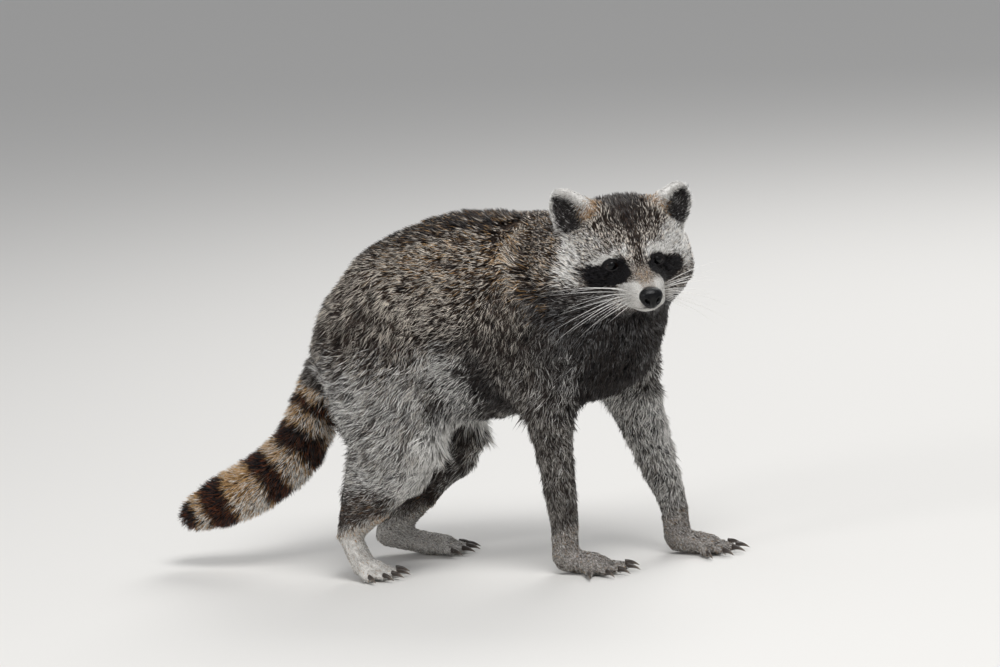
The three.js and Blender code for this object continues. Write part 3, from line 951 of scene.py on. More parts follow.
class Region(Enum):
    """The regions of the coat, by the first word of the solids' names."""

    chest = Pelt(10, 12, 0.85, 0.76, (-0.75, 0, -0.66))
    belly = Pelt(10.5, 14, 0.85, 0.82, (-0.95, 0, -0.3))
    rump = Pelt(10, 12, 0.85, 0.82, (-0.8, 0, -0.6))
    tail = Pelt(11, 10, 0.68, 1.15, evening=0.6)
    neck = Pelt(8, 11, 0.8, 0.88, (-0.55, 0.35, -0.75))
    muzzle = Pelt(1.4, 4.2, 0.36, 2.3, evening=0.2)
    lower_jaw = Pelt(1.4, 4.4, 0.38, 2.1, evening=0.2)
    head = Pelt(3.4, 8.5, 0.68, 0.9, evening=0.4)
    nose = Pelt(1.6, 1.5, 0.5, 0.0, evening=0.1)
    ear = Pelt(1.1, 5.4, 0.42, 1.4, evening=0.03)
    thigh = Pelt(9.5, 23, 0.85, 0.6, (-0.62, 0, -0.78))
    shank = Pelt(4.5, 17, 0.74, 0.75, (-0.5, 0, -0.86), evening=0.6)
    foot = Pelt(1.2, 4.2, 0.52, 0.62, evening=0.08)
    upper_arm = Pelt(7.5, 19, 0.82, 0.72, (-0.3, 0, -0.95))
    forearm = Pelt(3.8, 14, 0.7, 0.85, (-0.06, 0, -1.0), evening=0.6)
    hand = Pelt(1.1, 3.8, 0.52, 0.62, evening=0.08)

    @classmethod
    def of(cls, node: str) -> "Region":
        """The region that a solid belongs to."""
        return max((r for r in cls if node.startswith(r.name)), key=lambda r: len(r.name))

    @property
    def number(self) -> int:
        """Its place in the list of regions."""
        return list(Region).index(self)


def within(numbers: Array, *regions: Region) -> Array:
    """Whether each number is that of one of the regions."""
    return np.isin(numbers, [r.number for r in regions])


@dataclass
class Body:
    """The animal's surface out to the tips of its coat, and the fields that the coat grows by."""

    marks: Landmarks
    voxel: float = 2.6
    overlap: float = 0.35  # each solid is swollen by this, so that the cuts between them close
    evening_rounds: int = 22
    field_rounds: int = 26
    lie_rounds: int = 40
    eye_fill: float = 9.0  # the radius of the ball that stands in for each eye and its lids
    fine_reach: float = 64.0  # the face's mesh is finer within this distance of the nose
    fine: tuple[str, ...] = ("muzzle", "lower_jaw", "nose", "ear", "foot", "hand")
    evening: float = 0.6  # the share of the neighbours' mean that a vertex takes on in a round
    region_rounds: int = 6  # how far the regions' evening runs into each other
    stray_rounds: int = 24
    tail_flare: float = 0.12  # how far the tail's fur stands off its line
    heel: float = 0.3  # a foot's fur lies away from a point this far behind its middle, in its lengths
    face_origin: Triple = (48.0, 0.0, -14.0)  # the face's fur lies away from here
    face_back: Triple = (-0.25, 0.0, 0.0)  # and somewhat backwards
    cup: Triple = (-4.0, 0.0, -26.0)  # an ear's fur lies away from here
    haunch: Triple = (-0.95, 0.0, -0.3)  # the hind leg's fur lies so at the back,
    knee: Triple = (-0.5, 0.0, -0.87)  # and so at the front
    swirl: float = 0.16  # how far the lie strays from place to place

    def flesh(self) -> list[str]:
        """The solids that the skin stands for."""
        return [n for n in sorted(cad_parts) if not n.startswith(("eye", "claw", "nose"))]

    def solids(self) -> tuple[Array, Array, list[str]]:
        """The solids as one set of triangles.

        Returns:
            The vertices in millimetres, the triangles, and the name of the solid of each triangle.
        """
        parts, names = [], []
        for name in [*self.flesh(), "nose"]:
            mesh = bmesh.new()
            mesh.from_mesh(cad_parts[name].data)
            bmesh.ops.remove_doubles(mesh, verts=mesh.verts, dist=TINY)
            bmesh.ops.triangulate(mesh, faces=mesh.faces)
            mesh.normal_update()
            names += [name] * len(mesh.faces)
            swollen = np.array([v.co / MM + v.normal * self.overlap for v in mesh.verts])
            parts.append((swollen, arrays_of(mesh)[1]))
        return *merged(parts), names

    def eyeballs(self) -> tuple[Array, Array]:
        """Balls that fill the sockets."""
        points, triangles = ball(4, self.eye_fill)
        return merged([(points + middle, triangles) for middle in self.marks.eyes.values()])

    def envelope(self) -> Surface:
        """One closed surface round all the solids, finer on the face, ears and feet, with its fields.

        Returns:
            The surface.
        """
        points, triangles, names = self.solids()
        tree = BVHTree.FromPolygons(points.tolist(), triangles.tolist())
        joined = mesh_of("envelope", *merged([(points, triangles), self.eyeballs()]), {})
        remesh = joined.modifiers.new("one", "REMESH")
        remesh.mode, remesh.voxel_size = "VOXEL", self.voxel * MM
        ready = joined.evaluated_get(bpy.context.evaluated_depsgraph_get())
        mesh = bmesh.new()
        mesh.from_mesh(ready.to_mesh())
        bpy.data.objects.remove(joined)
        self.refine(mesh, tree, names)
        bmesh.ops.triangulate(mesh, faces=mesh.faces)
        found, faces = arrays_of(mesh)
        surface = Surface(found / MM, faces)
        nodes = [names[tree.find_nearest(Vector(p))[2]] for p in surface.points]
        self.measure(surface, nodes)
        return surface

    def refine(self, mesh: bmesh.types.BMesh, tree: BVHTree, names: list[str]) -> None:
        """Halves the mesh's edges where the shape is small.

        Args:
            mesh: The mesh, in metres.
            tree: The solids' triangles.
            names: The solid of each of them.
        """
        nose = Vector(self.marks.nose)
        chosen = set()
        for vertex in mesh.verts:
            place = vertex.co / MM
            near = (place - nose).length < self.fine_reach
            if near or names[tree.find_nearest(place)[2]].startswith(self.fine):
                chosen.add(vertex)
        edges = [e for e in mesh.edges if e.verts[0] in chosen and e.verts[1] in chosen]
        bmesh.ops.subdivide_edges(mesh, edges=edges, cuts=1, use_grid_fill=True, smooth=0.0)

    def measure(self, surface: Surface, nodes: list[str]) -> None:
        """Evens the surface and gives it the fields of the coat.

        Args:
            surface: The surface, whose points are moved.
            nodes: The nearest solid of each vertex.
        """
        pelts = [r.value for r in Region]
        number = np.array([Region.of(n).number for n in nodes])
        table = np.array([[p.depth, p.length, p.width, p.density] for p in pelts])
        evening = surface.spread(np.array([p.evening for p in pelts])[number], self.region_rounds)
        surface.points = surface.spread(surface.points, self.evening_rounds, self.evening * evening)
        values = surface.spread(table[number], self.field_rounds)
        surface.fields = {
            "region": number.astype(float)[:, None],
            "depth": values[:, :1],
            "length": values[:, 1:2],
            "width": values[:, 2:3],
            "density": np.where(within(number, Region.nose), 0, values[:, 3])[:, None],
            "lie": self.lies(surface, np.array(nodes), number),
            "normal": surface.normals(),
        }

    def lies(self, surface: Surface, names: Array, number: Array) -> Array:
        """The way that the coat lies at each vertex, along the surface.

        Args:
            surface: The surface.
            names: The nearest solid of each vertex.
            number: The number of its region.

        Returns:
            Directions of length 1.
        """
        points, head, line = surface.points, self.marks.head, self.marks.tail
        ways = unit(np.array([r.value.lie for r in Region], float))[number]
        local = head.inside(points)
        face = within(number, Region.head, Region.muzzle, Region.lower_jaw)
        ways[face] = unit(head.way(unit(local[face] - self.face_origin) + self.face_back))
        for side, place in self.marks.ears.items():
            mine = names == f"ear_{SIDES[side]}"
            spot = place.inside(points[mine]) - self.cup
            fringe = step(3, -3, side * (spot[:, 1])) * step(-2, 2, spot[:, 0] - 4.0)
            across = np.array([0.12, 0.9 * side, -0.5])
            ways[mine] = unit(place.way(unit(spot) * (1 - fringe)[:, None] + fringe[:, None] * across))
        mine = within(number, Region.tail)
        nearest = away(points[mine][:, None], line).argmin(1)
        along = unit(np.gradient(line, axis=0))[nearest]
        ways[mine] = unit(along + self.tail_flare * unit(points[mine] - line[nearest]))
        for pair, limb in (("hind", "foot"), ("fore", "hand")):
            for name in SIDES.values():
                tips = np.mean([centre_of(f"claw_{pair}_{name}_{i}") for i in TOES], axis=0)
                low, high = box_of(f"{limb}_{name}")
                heel = np.append((low + high)[:2] / 2, high[2])
                heel[0] -= (high[0] - low[0]) * self.heel
                ways[names == f"{limb}_{name}"] = unit(tips - heel)
        hind = within(number, Region.thigh, Region.shank)
        front = step(-50, 30, points[:, 0] + 0.3 * (points[:, 2] - 110))[:, None]
        ways[hind] = (np.array(self.haunch) * (1 - front) + np.array(self.knee) * front)[hind]
        ways = surface.spread(ways, self.lie_rounds)
        stray = surface.spread(np.random.default_rng(4).normal(size=ways.shape), self.stray_rounds)
        stray *= self.swirl / stray.std()
        return unit(laid(unit(ways) + stray * step(20, 60, away(local))[:, None], surface.normals()))


# ---------- markings


@dataclass
class Markings:
    """Where the fur is black, white, tan, pale-tipped or grey, as fields on the surface, with painted shade
    on the shaded side, under the trunk and inside the legs, and painted light on the far side.
    """

    marks: Landmarks
    rings: tuple[tuple[float, float], ...] = (
        (0.07, 0.13), (0.21, 0.322), (0.414, 0.529), (0.69, 0.832), (0.888, 1.3)
    )
    ring_blur: float = 0.028
    ring_arc: float = 0.06  # how far the rings bulge towards the root on the flanks
    lead: float = 0.7  # a tuft has the markings of the place that this share of it reaches to
    tail_reach: float = 170.0  # the tail lies within this distance of its middle
    muzzle_end: Triple = (50.0, 0.0, -20.0)  # in the head's axes
    ruff: float = 1.1  # how much longer the coat is on the cheeks,
    crest: float = 0.4  # and on the crown
    # The shaded shoulder and the flank below are painted shade on the near side, over somewhat darker fur.
    shaded_shoulder: Patch = ((160, 215), (40, 50))  # along X and Z, as the next two
    flank: Patch = ((70, 190), (60, 44))
    back: Patch = ((50, 300), (120, 46))
    collar: Patch = ((118, 58, 284), (30, 42, 32))
    # The pale wisps on the thighs: their X by their Z.
    thigh_edge: Curve = ((52, 62, 73, 92, 110, 160, 192), (-52, -37, -22, -4, 11, 41, 28))
    wisp_spread: float = 18.0
    hand: tuple[float, ...] = (0.08, 0.3, 0.1, 0.6, 0.5)  # black, white, tan, pale and grey shares
    # The mask's inner edge: how far out it lies by its height.
    mask_inside: Curve = ((-16, -6, -2.5, 1), (20, 15, 9.5, 7))
    # The brow's lower edge: its height by how far out it lies.
    brow_edge: Curve = ((8, 14, 21, 29, 37, 47, 56), (6, 9.5, 10.3, 7, 2.5, -2.5, -8))
    brow_spot: Patch = ((11.8, 13.0), (4.2, 6.4))  # outwards and upwards
    brow_gap: Patch = ((16.4, 11.5), (1.6, 5.0))
    region_rounds: int = 5  # how far the regions run into each other
    noise_rounds: int = 9
    least_black: float = 0.1

    def apply(self, surface: Surface) -> None:
        """Works out the markings and the coat's lengths on head and legs.

        Args:
            surface: The surface, which gets the fields markings and tone.
        """
        normals = surface.fields["normal"]
        number = surface.fields["region"][:, 0].astype(int)
        on = {r: surface.spread(within(number, r).astype(float), self.region_rounds) for r in Region}
        head = sum(on[r] for r in (Region.head, Region.muzzle, Region.lower_jaw, Region.nose))
        noise = np.random.default_rng(9).normal(size=(len(number), 3))
        noise = surface.spread(noise, self.noise_rounds)
        noise /= noise.std(0)
        self.trim(surface, head, on)
        reach = self.lead * surface.fields["length"] * (1 - on[Region.ear])[:, None]
        points = surface.points + surface.fields["lie"] * reach
        shades = self.body(points, normals, on, noise)
        shades = turned_to(shades, self.face(self.marks.head.inside(points), noise), head)
        for side, place in self.marks.ears.items():
            local = place.inside(points)
            near = on[Region.ear] * step(34, 28, away(local))
            shades = turned_to(shades, self.ear(local, side), near)
        near = step(0.35, 0.65, on[Region.tail])
        black, white, tan, pale, grey = turned_to(shades, self.tail(points, normals, noise), near)
        surface.fields["markings"] = np.clip(np.stack([black, white, tan], 1), 0, 1)
        surface.fields["tone"] = np.clip(np.stack([pale, grey, np.zeros_like(grey)], 1), 0, 1)

    def trim(self, surface: Surface, head: Array, on: dict[Region, Array]) -> None:
        """Shortens the coat towards the eyes, nose and paws, and lengthens the cheeks' ruff.

        Args:
            surface: The surface, whose coat is changed.
            head: The head's share at each vertex.
            on: Each region's share at each vertex.
        """
        fields = surface.fields
        local = self.marks.head.inside(surface.points)
        x, y, z = local.T
        side = np.abs(y)
        from_nose = away(local, self.muzzle_end)
        eyes = np.minimum(*(away(surface.points, e) for e in self.marks.eyes.values()))
        size = 0.45 + 0.55 * step(14, 62, from_nose)
        size *= 0.5 + 0.5 * step(8, 26, eyes)
        ruff = step(40, 62, side) * step(18, -12, z) * step(20, -20, x)
        crown = step(24, 40, z) * step(40, 26, side)
        scale = 1 + head * (size * (1 + self.ruff * ruff + self.crest * crown) - 1)
        height = surface.points[:, 2]
        ankle = on[Region.shank] * step(100, 64, height) + 0.8 * on[Region.forearm] * step(90, 50, height)
        scale *= 1 - 0.6 * ankle
        fields["depth"] *= (scale * (1 + 0.9 * head * crown))[:, None]
        fields["length"] *= (0.25 + 0.75 * scale)[:, None] * (1 + 0.1 * head * ruff)[:, None]
        fields["width"] *= (0.6 + 0.4 * np.clip(scale, 0, 1.3))[:, None]
        fields["density"] *= (1 + 0.5 * head * step(90, 45, from_nose) + 0.5 * ankle)[:, None]
        tip = 1 - 0.5 * step(46, 10, away(surface.points, self.marks.tail[-1]))
        fields["length"] *= tip[:, None]

    def body(self, points: Array, normals: Array, on: dict[Region, Array], noise: Array) -> Array:
        """The shares on the trunk, neck and legs, with their painted shade and painted light.

        Args:
            points: Where a tuft's tip is seen.
            normals: The surface's normals.
            on: Each region's share at each vertex.
            noise: Three columns of cloudy noise.

        Returns:
            Black, white, tan, pale and grey, a row each.
        """
        x, y, z = points.T
        side, level = np.abs(y), np.stack([x, z], 1)
        spine = step(0.72, 0.95, normals[:, 2]) * step(230, 290, z)
        top = step(170, 265, z)
        arms = on[Region.upper_arm] + on[Region.forearm]
        hind = on[Region.thigh] + on[Region.shank]
        trunk = 1 - arms - hind
        # far and rim mark the far, left side, which is in the light: the painted shade is lifted there and
        # painted light added.
        far = step(-10, 20, y)
        rim = step(-10, 45, y)
        # Painted shade over somewhat darker fur: the near side's breast, shoulder and flank, and the trunk's
        # underside where it faces down.
        low = step(185, 105, z) * (0.5 + 0.4 * far)
        breast = step(100, 155, x) * step(275, 215, z) * (1 - low) * (1 - rim)
        shaded_shoulder = bell(level, *self.shaded_shoulder) * (1 - breast) * (1 - rim)
        under = step(0.1, -0.6, normals[:, 2]) * step(100, 130, z) * trunk
        flank = bell(level, *self.flank) * (1 - hind) * (1 - 0.7 * rim)
        # Painted shade on the legs' inner sides, which face the body: more black and less white.
        inner = step(0.15, 0.7, -np.sign(y) * normals[:, 1]) * (arms + hind)
        edge = np.interp(z, *self.thigh_edge)
        wisps = np.exp(-(((x - edge) / self.wisp_spread) ** 2)) * step(45, 66, z) * step(226, 190, z)
        wisps = wisps * step(15, 34, side) * (1 - inner)
        # dark gathers that painted shade, which also makes the fur there greyer, blacker and less
        # pale-tipped.
        dark = 0.9 * breast + 0.7 * under * (1 - 0.5 * rim) + 0.6 * shaded_shoulder + 0.5 * flank * (1 - wisps)
        black = 0.07 + 0.4 * spine + 0.14 * dark - 0.04 * breast + 0.1 * shaded_shoulder + 0.1 * under
        black = black + 0.16 * inner + 0.05 * noise[:, 0]
        pale = 0.42 + 0.1 * top - 0.1 * hind - 0.1 * dark + 0.1 * breast
        # Painted light: the far foreleg, on the lit side, has more pale tips.
        pale = pale + 0.16 * far * arms + 0.08 * noise[:, 1]
        grey = np.maximum(0.6 - 0.6 * top, dark) * (1 - 0.5 * hind)
        white = 0.02 + 0.5 * hind * step(225, 160, z) * (1 - 0.7 * inner)
        white = white + (0.42 + 0.26 * step(90, 130, z)) * wisps
        # Painted light on the far foreleg's front, where the light falls; both forelegs are a little whiter
        # there.
        white = white + (0.06 + 0.4 * far) * arms * step(-0.3, 0.5, normals[:, 0]) * step(40, 130, z)
        # Painted light: a pale rim of light on the far side of the throat and chest.
        white = white + 0.26 * rim * step(110, 160, x) * step(280, 235, z)
        collar = bell(np.stack([x, side, z], 1), *self.collar)
        heel = on[Region.shank] * step(100, 66, z) * step(40, 54, z) * step(-8, -40, x + 0.5 * (z - 60))
        tan = 0.2 * collar + 0.14 * bell(level, *self.back) + 0.1 * heel
        black = black * (1 - 0.8 * collar) + 0.1 * heel
        pale = pale - 0.12 * heel + 0.22 * collar
        # Besides the heel's dark band: whiter forelegs above, more on the far foreleg as painted light.
        white = white * (1 - 0.85 * heel) + (0.06 + 0.16 * far) * arms * step(220, 160, z)
        instep = step(28, 58, z)
        # The far foot is painted darker and less white: painted shade.
        foot = np.array([
            0.06 * instep + 0.1 * far,
            0.84 - 0.4 * instep - 0.3 * far,
            0.26 + 0.34 * instep - 0.2 * far,
            np.full_like(z, 0.7),
            np.full_like(z, 0.3),
        ])
        shades = turned_to(np.array([black, white, tan, pale, grey]), foot, on[Region.foot])
        return turned_to(shades, np.array(self.hand)[:, None], on[Region.hand])

    def face(self, local: Array, noise: Array) -> Array:
        """The shares on the head.

        Args:
            local: Where a tuft's tip is seen, in the head's axes.
            noise: Three columns of cloudy noise.

        Returns:
            Black, white, tan, pale and grey, a row each.
        """
        x, y, z = local.T
        right = y < 0
        side = np.abs(y) + 0.6 * noise[:, 0]
        z = z + 0.6 * noise[:, 1]
        outer = np.where(right, 17.0, 13.0)
        inner = np.where(right, 20.6, 19.0)
        ovals = (
            ((inner, -1.0), (30.6 - inner, 11.3)),
            ((21.0 + outer, -8.0), (outer, 10.0)),
            ((np.where(right, 33.5, 27.0), -9.3), (12.0, 9.0)),
            ((29.0, -3.5), (9.0, 8.5)),
        )
        mask = np.min([np.hypot((side - c[0]) / r[0], (z - c[1]) / r[1]) for c, r in ovals], axis=0)
        mask = step(1.13, 0.92, mask + 0.03 * noise[:, 2]) * step(-30, -18, x)
        beside = np.interp(z, *self.mask_inside)
        mask = mask * (1 - 0.5 * step(42, 54, side)) * step(beside - 1.5, beside + 1.5, side)
        above = z - np.interp(side, *self.brow_edge)
        thick = np.where(right, 5.0, 8.5)
        brow = step(-2, 1, above) * step(thick + 2, thick - 1, above)
        brow = brow * step(12, 17, side) * step(60, 44, side)
        level = np.stack([side, z], 1)
        spot = bell(level, *self.brow_spot)
        gap = bell(level, *self.brow_gap) * right
        rear = -31 + 1.15 * (side - 61)
        fore = step(rear - 3, rear + 4, x)
        outside = step(44, 54, side) * fore * step(31, 22, z) * step(-26, -8, z)
        temple = step(22, 36, side) * step(33, 22, z) * step(-2, 6, above) * fore
        # Painted shade: the right temple, on the shaded side, is whitened less than the left.
        temple = temple * np.where(right, 0.36, 0.78)
        # Painted shade below the mask on the cheeks: full on the shaded right side, half on the left.
        under = step(-14, -21, z) * step(20, 28, side) * step(28, 18, x) * np.where(right, 1.0, 0.5)
        snout = step(13, 21, x) * step(-4, -9, z + 0.1 * (44 - x))
        chin = step(-27, -31, z) * step(4, 14, x)
        stripe = step(7.5, 3.0, side) * step(-45, -15, x) * step(32, 16, x)
        crown = step(12, 50, z) * step(42, 20, side)
        bridge = step(9.0, 5.5, side) * step(8, 16, x) * step(-24, -14, z)
        throat = step(-34, -43, z) * step(14, 0, x)
        behind = step(rear + 2, rear - 5, x) * step(46, 56, side)
        white = np.maximum.reduce([
            0.98 * brow, 0.95 * spot, 0.74 * outside, temple, 0.86 * snout, 0.95 * chin, 0.22 * bridge
        ])
        darker = ((0.8, gap), (0.85, throat), (0.7, stripe), (0.5, bridge), (1, mask), (0.75, under))
        for share, spared in darker:
            white = white * (1 - share * spared)
        tan = 0.22 * bridge * step(16, 30, x) + 0.05 * stripe + 0.1 * behind * right
        black = np.maximum.reduce([
            mask, 0.5 * gap, 0.28 * stripe, 0.27 * crown, 0.12 * throat, 0.2 * under, 0.3 * behind
        ])
        black = np.maximum(black, self.least_black)
        pale = 0.68 - 0.38 * crown - 0.2 * stripe - 0.16 * under - 0.05 * throat
        grey = 0.1 + 0.9 * throat + 0.2 * brow + 0.75 * under
        return np.array([black * (1 - 0.95 * white), white, tan * (1 - mask), pale, grey])

    @staticmethod
    def ear(local: Array, side: int) -> Array:
        """Black, white, tan, pale and grey shares on one ear.

        Args:
            local: Places in the ear's axes.
            side: -1 for the right ear, 1 for the left.

        Returns:
            A row for each share.
        """
        x, y, z = local.T
        outwards = side * y
        cup = np.hypot((outwards - 2.6) / (11.2 - 0.16 * z), (z + 0.4) / 17.9)
        inside = step(1.1, 0.8, cup) * step(-3.0, 0.5, x)
        base = step(-2, -9, outwards) * step(10, -6, z)
        behind = step(0.5, -4.0, x) * step(8, -6, z)
        black = np.maximum(0.56 * inside, 0.45 * behind)
        white = (0.94 - 0.5 * behind) * (1 - inside) * (1 - 0.8 * base) + 0.1 * inside
        tan = 0.8 * base * (1 - 0.6 * inside)
        return np.array([black * (1 - base), white, tan, np.full_like(x, 0.5), 0.9 - 0.5 * base])

    def along_tail(self, points: Array) -> Array:
        """How far down the tail each point is, from 0 to 1."""
        line = self.marks.tail
        return away(points[:, None], line).argmin(1) / (len(line) - 1)

    def tail(self, points: Array, normals: Array, noise: Array) -> Array:
        """The shares on the ringed tail.

        Args:
            points: Where a tuft's tip is seen.
            normals: The surface's normals.
            noise: Three columns of cloudy noise.

        Returns:
            Black, white, tan, pale and grey, a row each.
        """
        near = away(points, self.marks.tail.mean(0)) < self.tail_reach
        along = np.zeros(len(points))
        along[near] = self.along_tail(points[near])
        along = along + 0.007 * noise[:, 0] - self.ring_arc * (1 - np.abs(normals[:, 1]))
        blur = self.ring_blur
        dark = sum(step(a - blur, a + blur, along) * step(b + blur, b - blur, along) for a, b in self.rings)
        under = step(0.3, -0.6, normals[:, 2])
        light = 1 - dark
        rust = step(0.3, 0.8, along)
        tan = light * (0.66 + 0.34 * rust) * (1 - 0.5 * under) + dark * (0.54 + 0.2 * rust)
        white = light * (0.2 + 0.35 * under)
        black = dark * (0.6 + 0.12 * step(0.86, 0.95, along) + 0.15 * step(0.4, 0.9, normals[:, 2]))
        return np.array([black, white, tan, 0.8 * light + 0.08, 0.1 + 0.3 * under])


# ---------- skin


@dataclass
class Hide:
    """The skin: the body's surface moved in by the coat's depth, with lids, mouth and the nose pad's seat."""

    marks: Landmarks
    eye_radius: float = 7.6
    opening: Triple = (46.0, 29.0, 27.0)  # degrees to the corners, up and down
    lid_gaze: Triple = (0.99, 0.12, 0.02)  # where the eyes face, the left one outwards
    lid_steps: int = 72
    # The lids' section: widths, against the opening's, and heights over the eyeball.
    lid_profile: tuple[tuple[float, float], ...] = (
        (0.9, -0.5), (1.0, 0.16), (1.03, 0.55), (1.1, 0.85), (1.22, 0.98), (1.36, 0.9),
        (1.45, 0.72), (1.56, 1.0), (1.75, 1.1), (2.0, 0.95), (2.2, 0.2),
    )
    breast: Patch = ((186.0, 48.0, 172.0), (26.0, 34.0, 20.0))  # what is filled out beside the left foreleg,
    breast_way: Triple = (0.95, 0.3, 0.0)  # and where and how far it goes
    breast_rise: float = 9.0
    stop: Patch = ((9, 0, 6), (9, 12, 9))  # in the head's axes, as the next two
    crown: Patch = ((-42, 0, 42), (34, 26, 18))
    temple: Patch = ((-36, 28, 38), (17, 13, 14))  # the left one
    chin: Triple = (34, 0, -34)
    lowest: float = 0.02
    lid_room: float = 15.0  # the skin is drawn in behind an eyeball within this distance of its middle
    pad_room: float = 5.5  # how far the skin is drawn back behind the nose pad

    def eye_place(self, side: int) -> Place:
        """Axes of one eye: forward, outwards and up.

        Args:
            side: -1 for the right eye, 1 for the left.

        Returns:
            Its axes, from the eyeball's middle.
        """
        head = self.marks.head
        ahead = unit(head.way(np.array(self.lid_gaze) * [1, side, 1]))
        outwards = unit(np.cross(head.way([0, 0, 1.0]), ahead)) * side
        upward = np.cross(ahead, outwards * side)
        middle = self.marks.eyes[side] + head.way([-1.0, -1.4 - 0.5 * side, 0.0])
        return Place(middle, np.stack([ahead, outwards, upward]))

    def ratio(self, local: Array) -> Array:
        """How far from the middle of the opening a direction is, 1 at its rim.

        Args:
            local: Points in the eye's axes.

        Returns:
            The ratio, large behind the eye.
        """
        corner, up, down = (math.radians(d) for d in self.opening)
        x, y, z = unit(local).T
        sideways, upwards = np.arctan2(y, np.maximum(x, 1e-3)), np.arctan2(z, np.maximum(x, 1e-3))
        found = np.hypot(sideways / corner, upwards / np.where(upwards > 0, up, down))
        return np.where(x > 0.05, found, 9.0)

    def build(self, envelope: Surface) -> Surface:
        """The skin with its fields, from the body's surface.

        Args:
            envelope: The body's surface, with its fields.

        Returns:
            The skin.
        """
        fields = envelope.fields
        skin = Surface(envelope.points - fields["normal"] * fields["depth"], envelope.triangles)
        skin.fields = dict(fields)
        hairy = step(2.0, 7.0, fields["depth"][:, 0])
        skin.points = skin.spread(skin.points, 4, 0.5 * hairy)
        fill = self.breast_rise * bell(skin.points, *self.breast)
        skin.points += fill[:, None] * np.array(self.breast_way)
        skin.points[:, 2] = np.maximum(skin.points[:, 2], self.lowest)
        self.shape_face(skin)
        for side in SIDES:
            self.seat_eye(skin, side)
        for side in SIDES:
            skin = self.add_lids(skin, side)
        normal = skin.normals()
        lie = unit(laid(skin.fields["lie"], normal))
        bend = np.clip(skin.spread(skin.bend(normal, lie), 8), -0.05, 0.12)
        skin.fields |= {"normal": normal, "lie": lie, "bend": bend[:, None]}
        return skin

    def shape_face(self, skin: Surface) -> None:
        """Cuts the mouth, fills the lips, flattens the crown and makes room behind the nose pad.

        Args:
            skin: The skin, whose points are moved.
        """
        head, fields = self.marks.head, skin.fields
        local = head.inside(skin.points)
        x, y, z = local.T
        mouth = -31.3 + 2.4 * ((x - 34) / 24) ** 2
        groove = np.exp(-(((z - mouth) / 0.9) ** 2)) * step(10, 16, x)
        lip = np.exp(-(((z - mouth - 3.4) / 2.6) ** 2)) * step(14, 26, x) * step(3, 8, np.abs(y))
        cleft = np.exp(-((y / 0.8) ** 2)) * step(44, 48, x) * step(-25, -28, z) * step(-33, -31, z)
        temples = sum(bell(local * [1, side, 1], *self.temple) for side in SIDES)
        shift = 0.9 * lip - 1.3 * groove - 0.9 * cleft - 0.8 * bell(local, *self.stop)
        shift = shift - 2.0 * bell(local, *self.crown) + 6.5 * temples
        skin.points += skin.normals() * shift[:, None]
        lift = 0.35 * np.maximum(-31.5 - z, 0) * step(0, 20, x) * step(46, 30, away(local, self.chin))
        skin.points += lift[:, None] * head.axes[2]
        pad = away(local, head.inside(self.marks.nose))
        skin.points -= head.axes[0] * (self.pad_room * step(11.5, 7.5, pad))[:, None]
        fields["density"] *= (1 - np.clip(1.4 * groove + cleft, 0, 1))[:, None]
        line = np.clip(1.2 * groove + cleft, 0, 1)[:, None]
        fields["tone"] = np.maximum(fields["tone"], line * np.array([0, 0, 1.0]))
        for side, place in self.marks.ears.items():
            self.shape_ear(skin, side, place)

    @staticmethod
    def shape_ear(skin: Surface, side: int, place: Place) -> None:
        """Draws an ear taller, and its inner edge out towards the crown.

        Args:
            skin: The skin, whose points are moved.
            side: -1 for the right ear, 1 for the left.
            place: The ear's axes.
        """
        local = place.inside(skin.points)
        near = step(34, 27, away(local)) * step(-26, -12, local[:, 2])
        inner = step(2, -8, side * local[:, 1]) * step(16, -8, local[:, 2])
        taller = 0.14 if side < 0 else -0.02
        rise = taller * np.maximum(local[:, 2] + 8, 0) * near
        flare = -side * 3.6 * inner * near
        skin.points += place.way(np.stack([0 * rise, flare, rise], 1))

    def seat_eye(self, skin: Surface, side: int) -> None:
        """Draws the skin behind the eyeball inside the opening and under the lids around it.

        Args:
            skin: The skin, whose points are moved.
            side: -1 for the right eye, 1 for the left.
        """
        place = self.eye_place(side)
        local = place.inside(skin.points)
        far = away(local)
        near = far < self.lid_room
        spot, reach = local[near], far[near]
        ratio = self.ratio(spot)
        under = self.eye_radius - 1.3 + 1.5 * step(1.2, 1.75, ratio)
        aim = reach + step(2.3, 1.75, ratio) * (under - reach)
        skin.points[near] = place.outside(spot * (aim / reach)[:, None])
        skin.fields["density"][near, 0] *= step(1.7, 2.0, ratio)

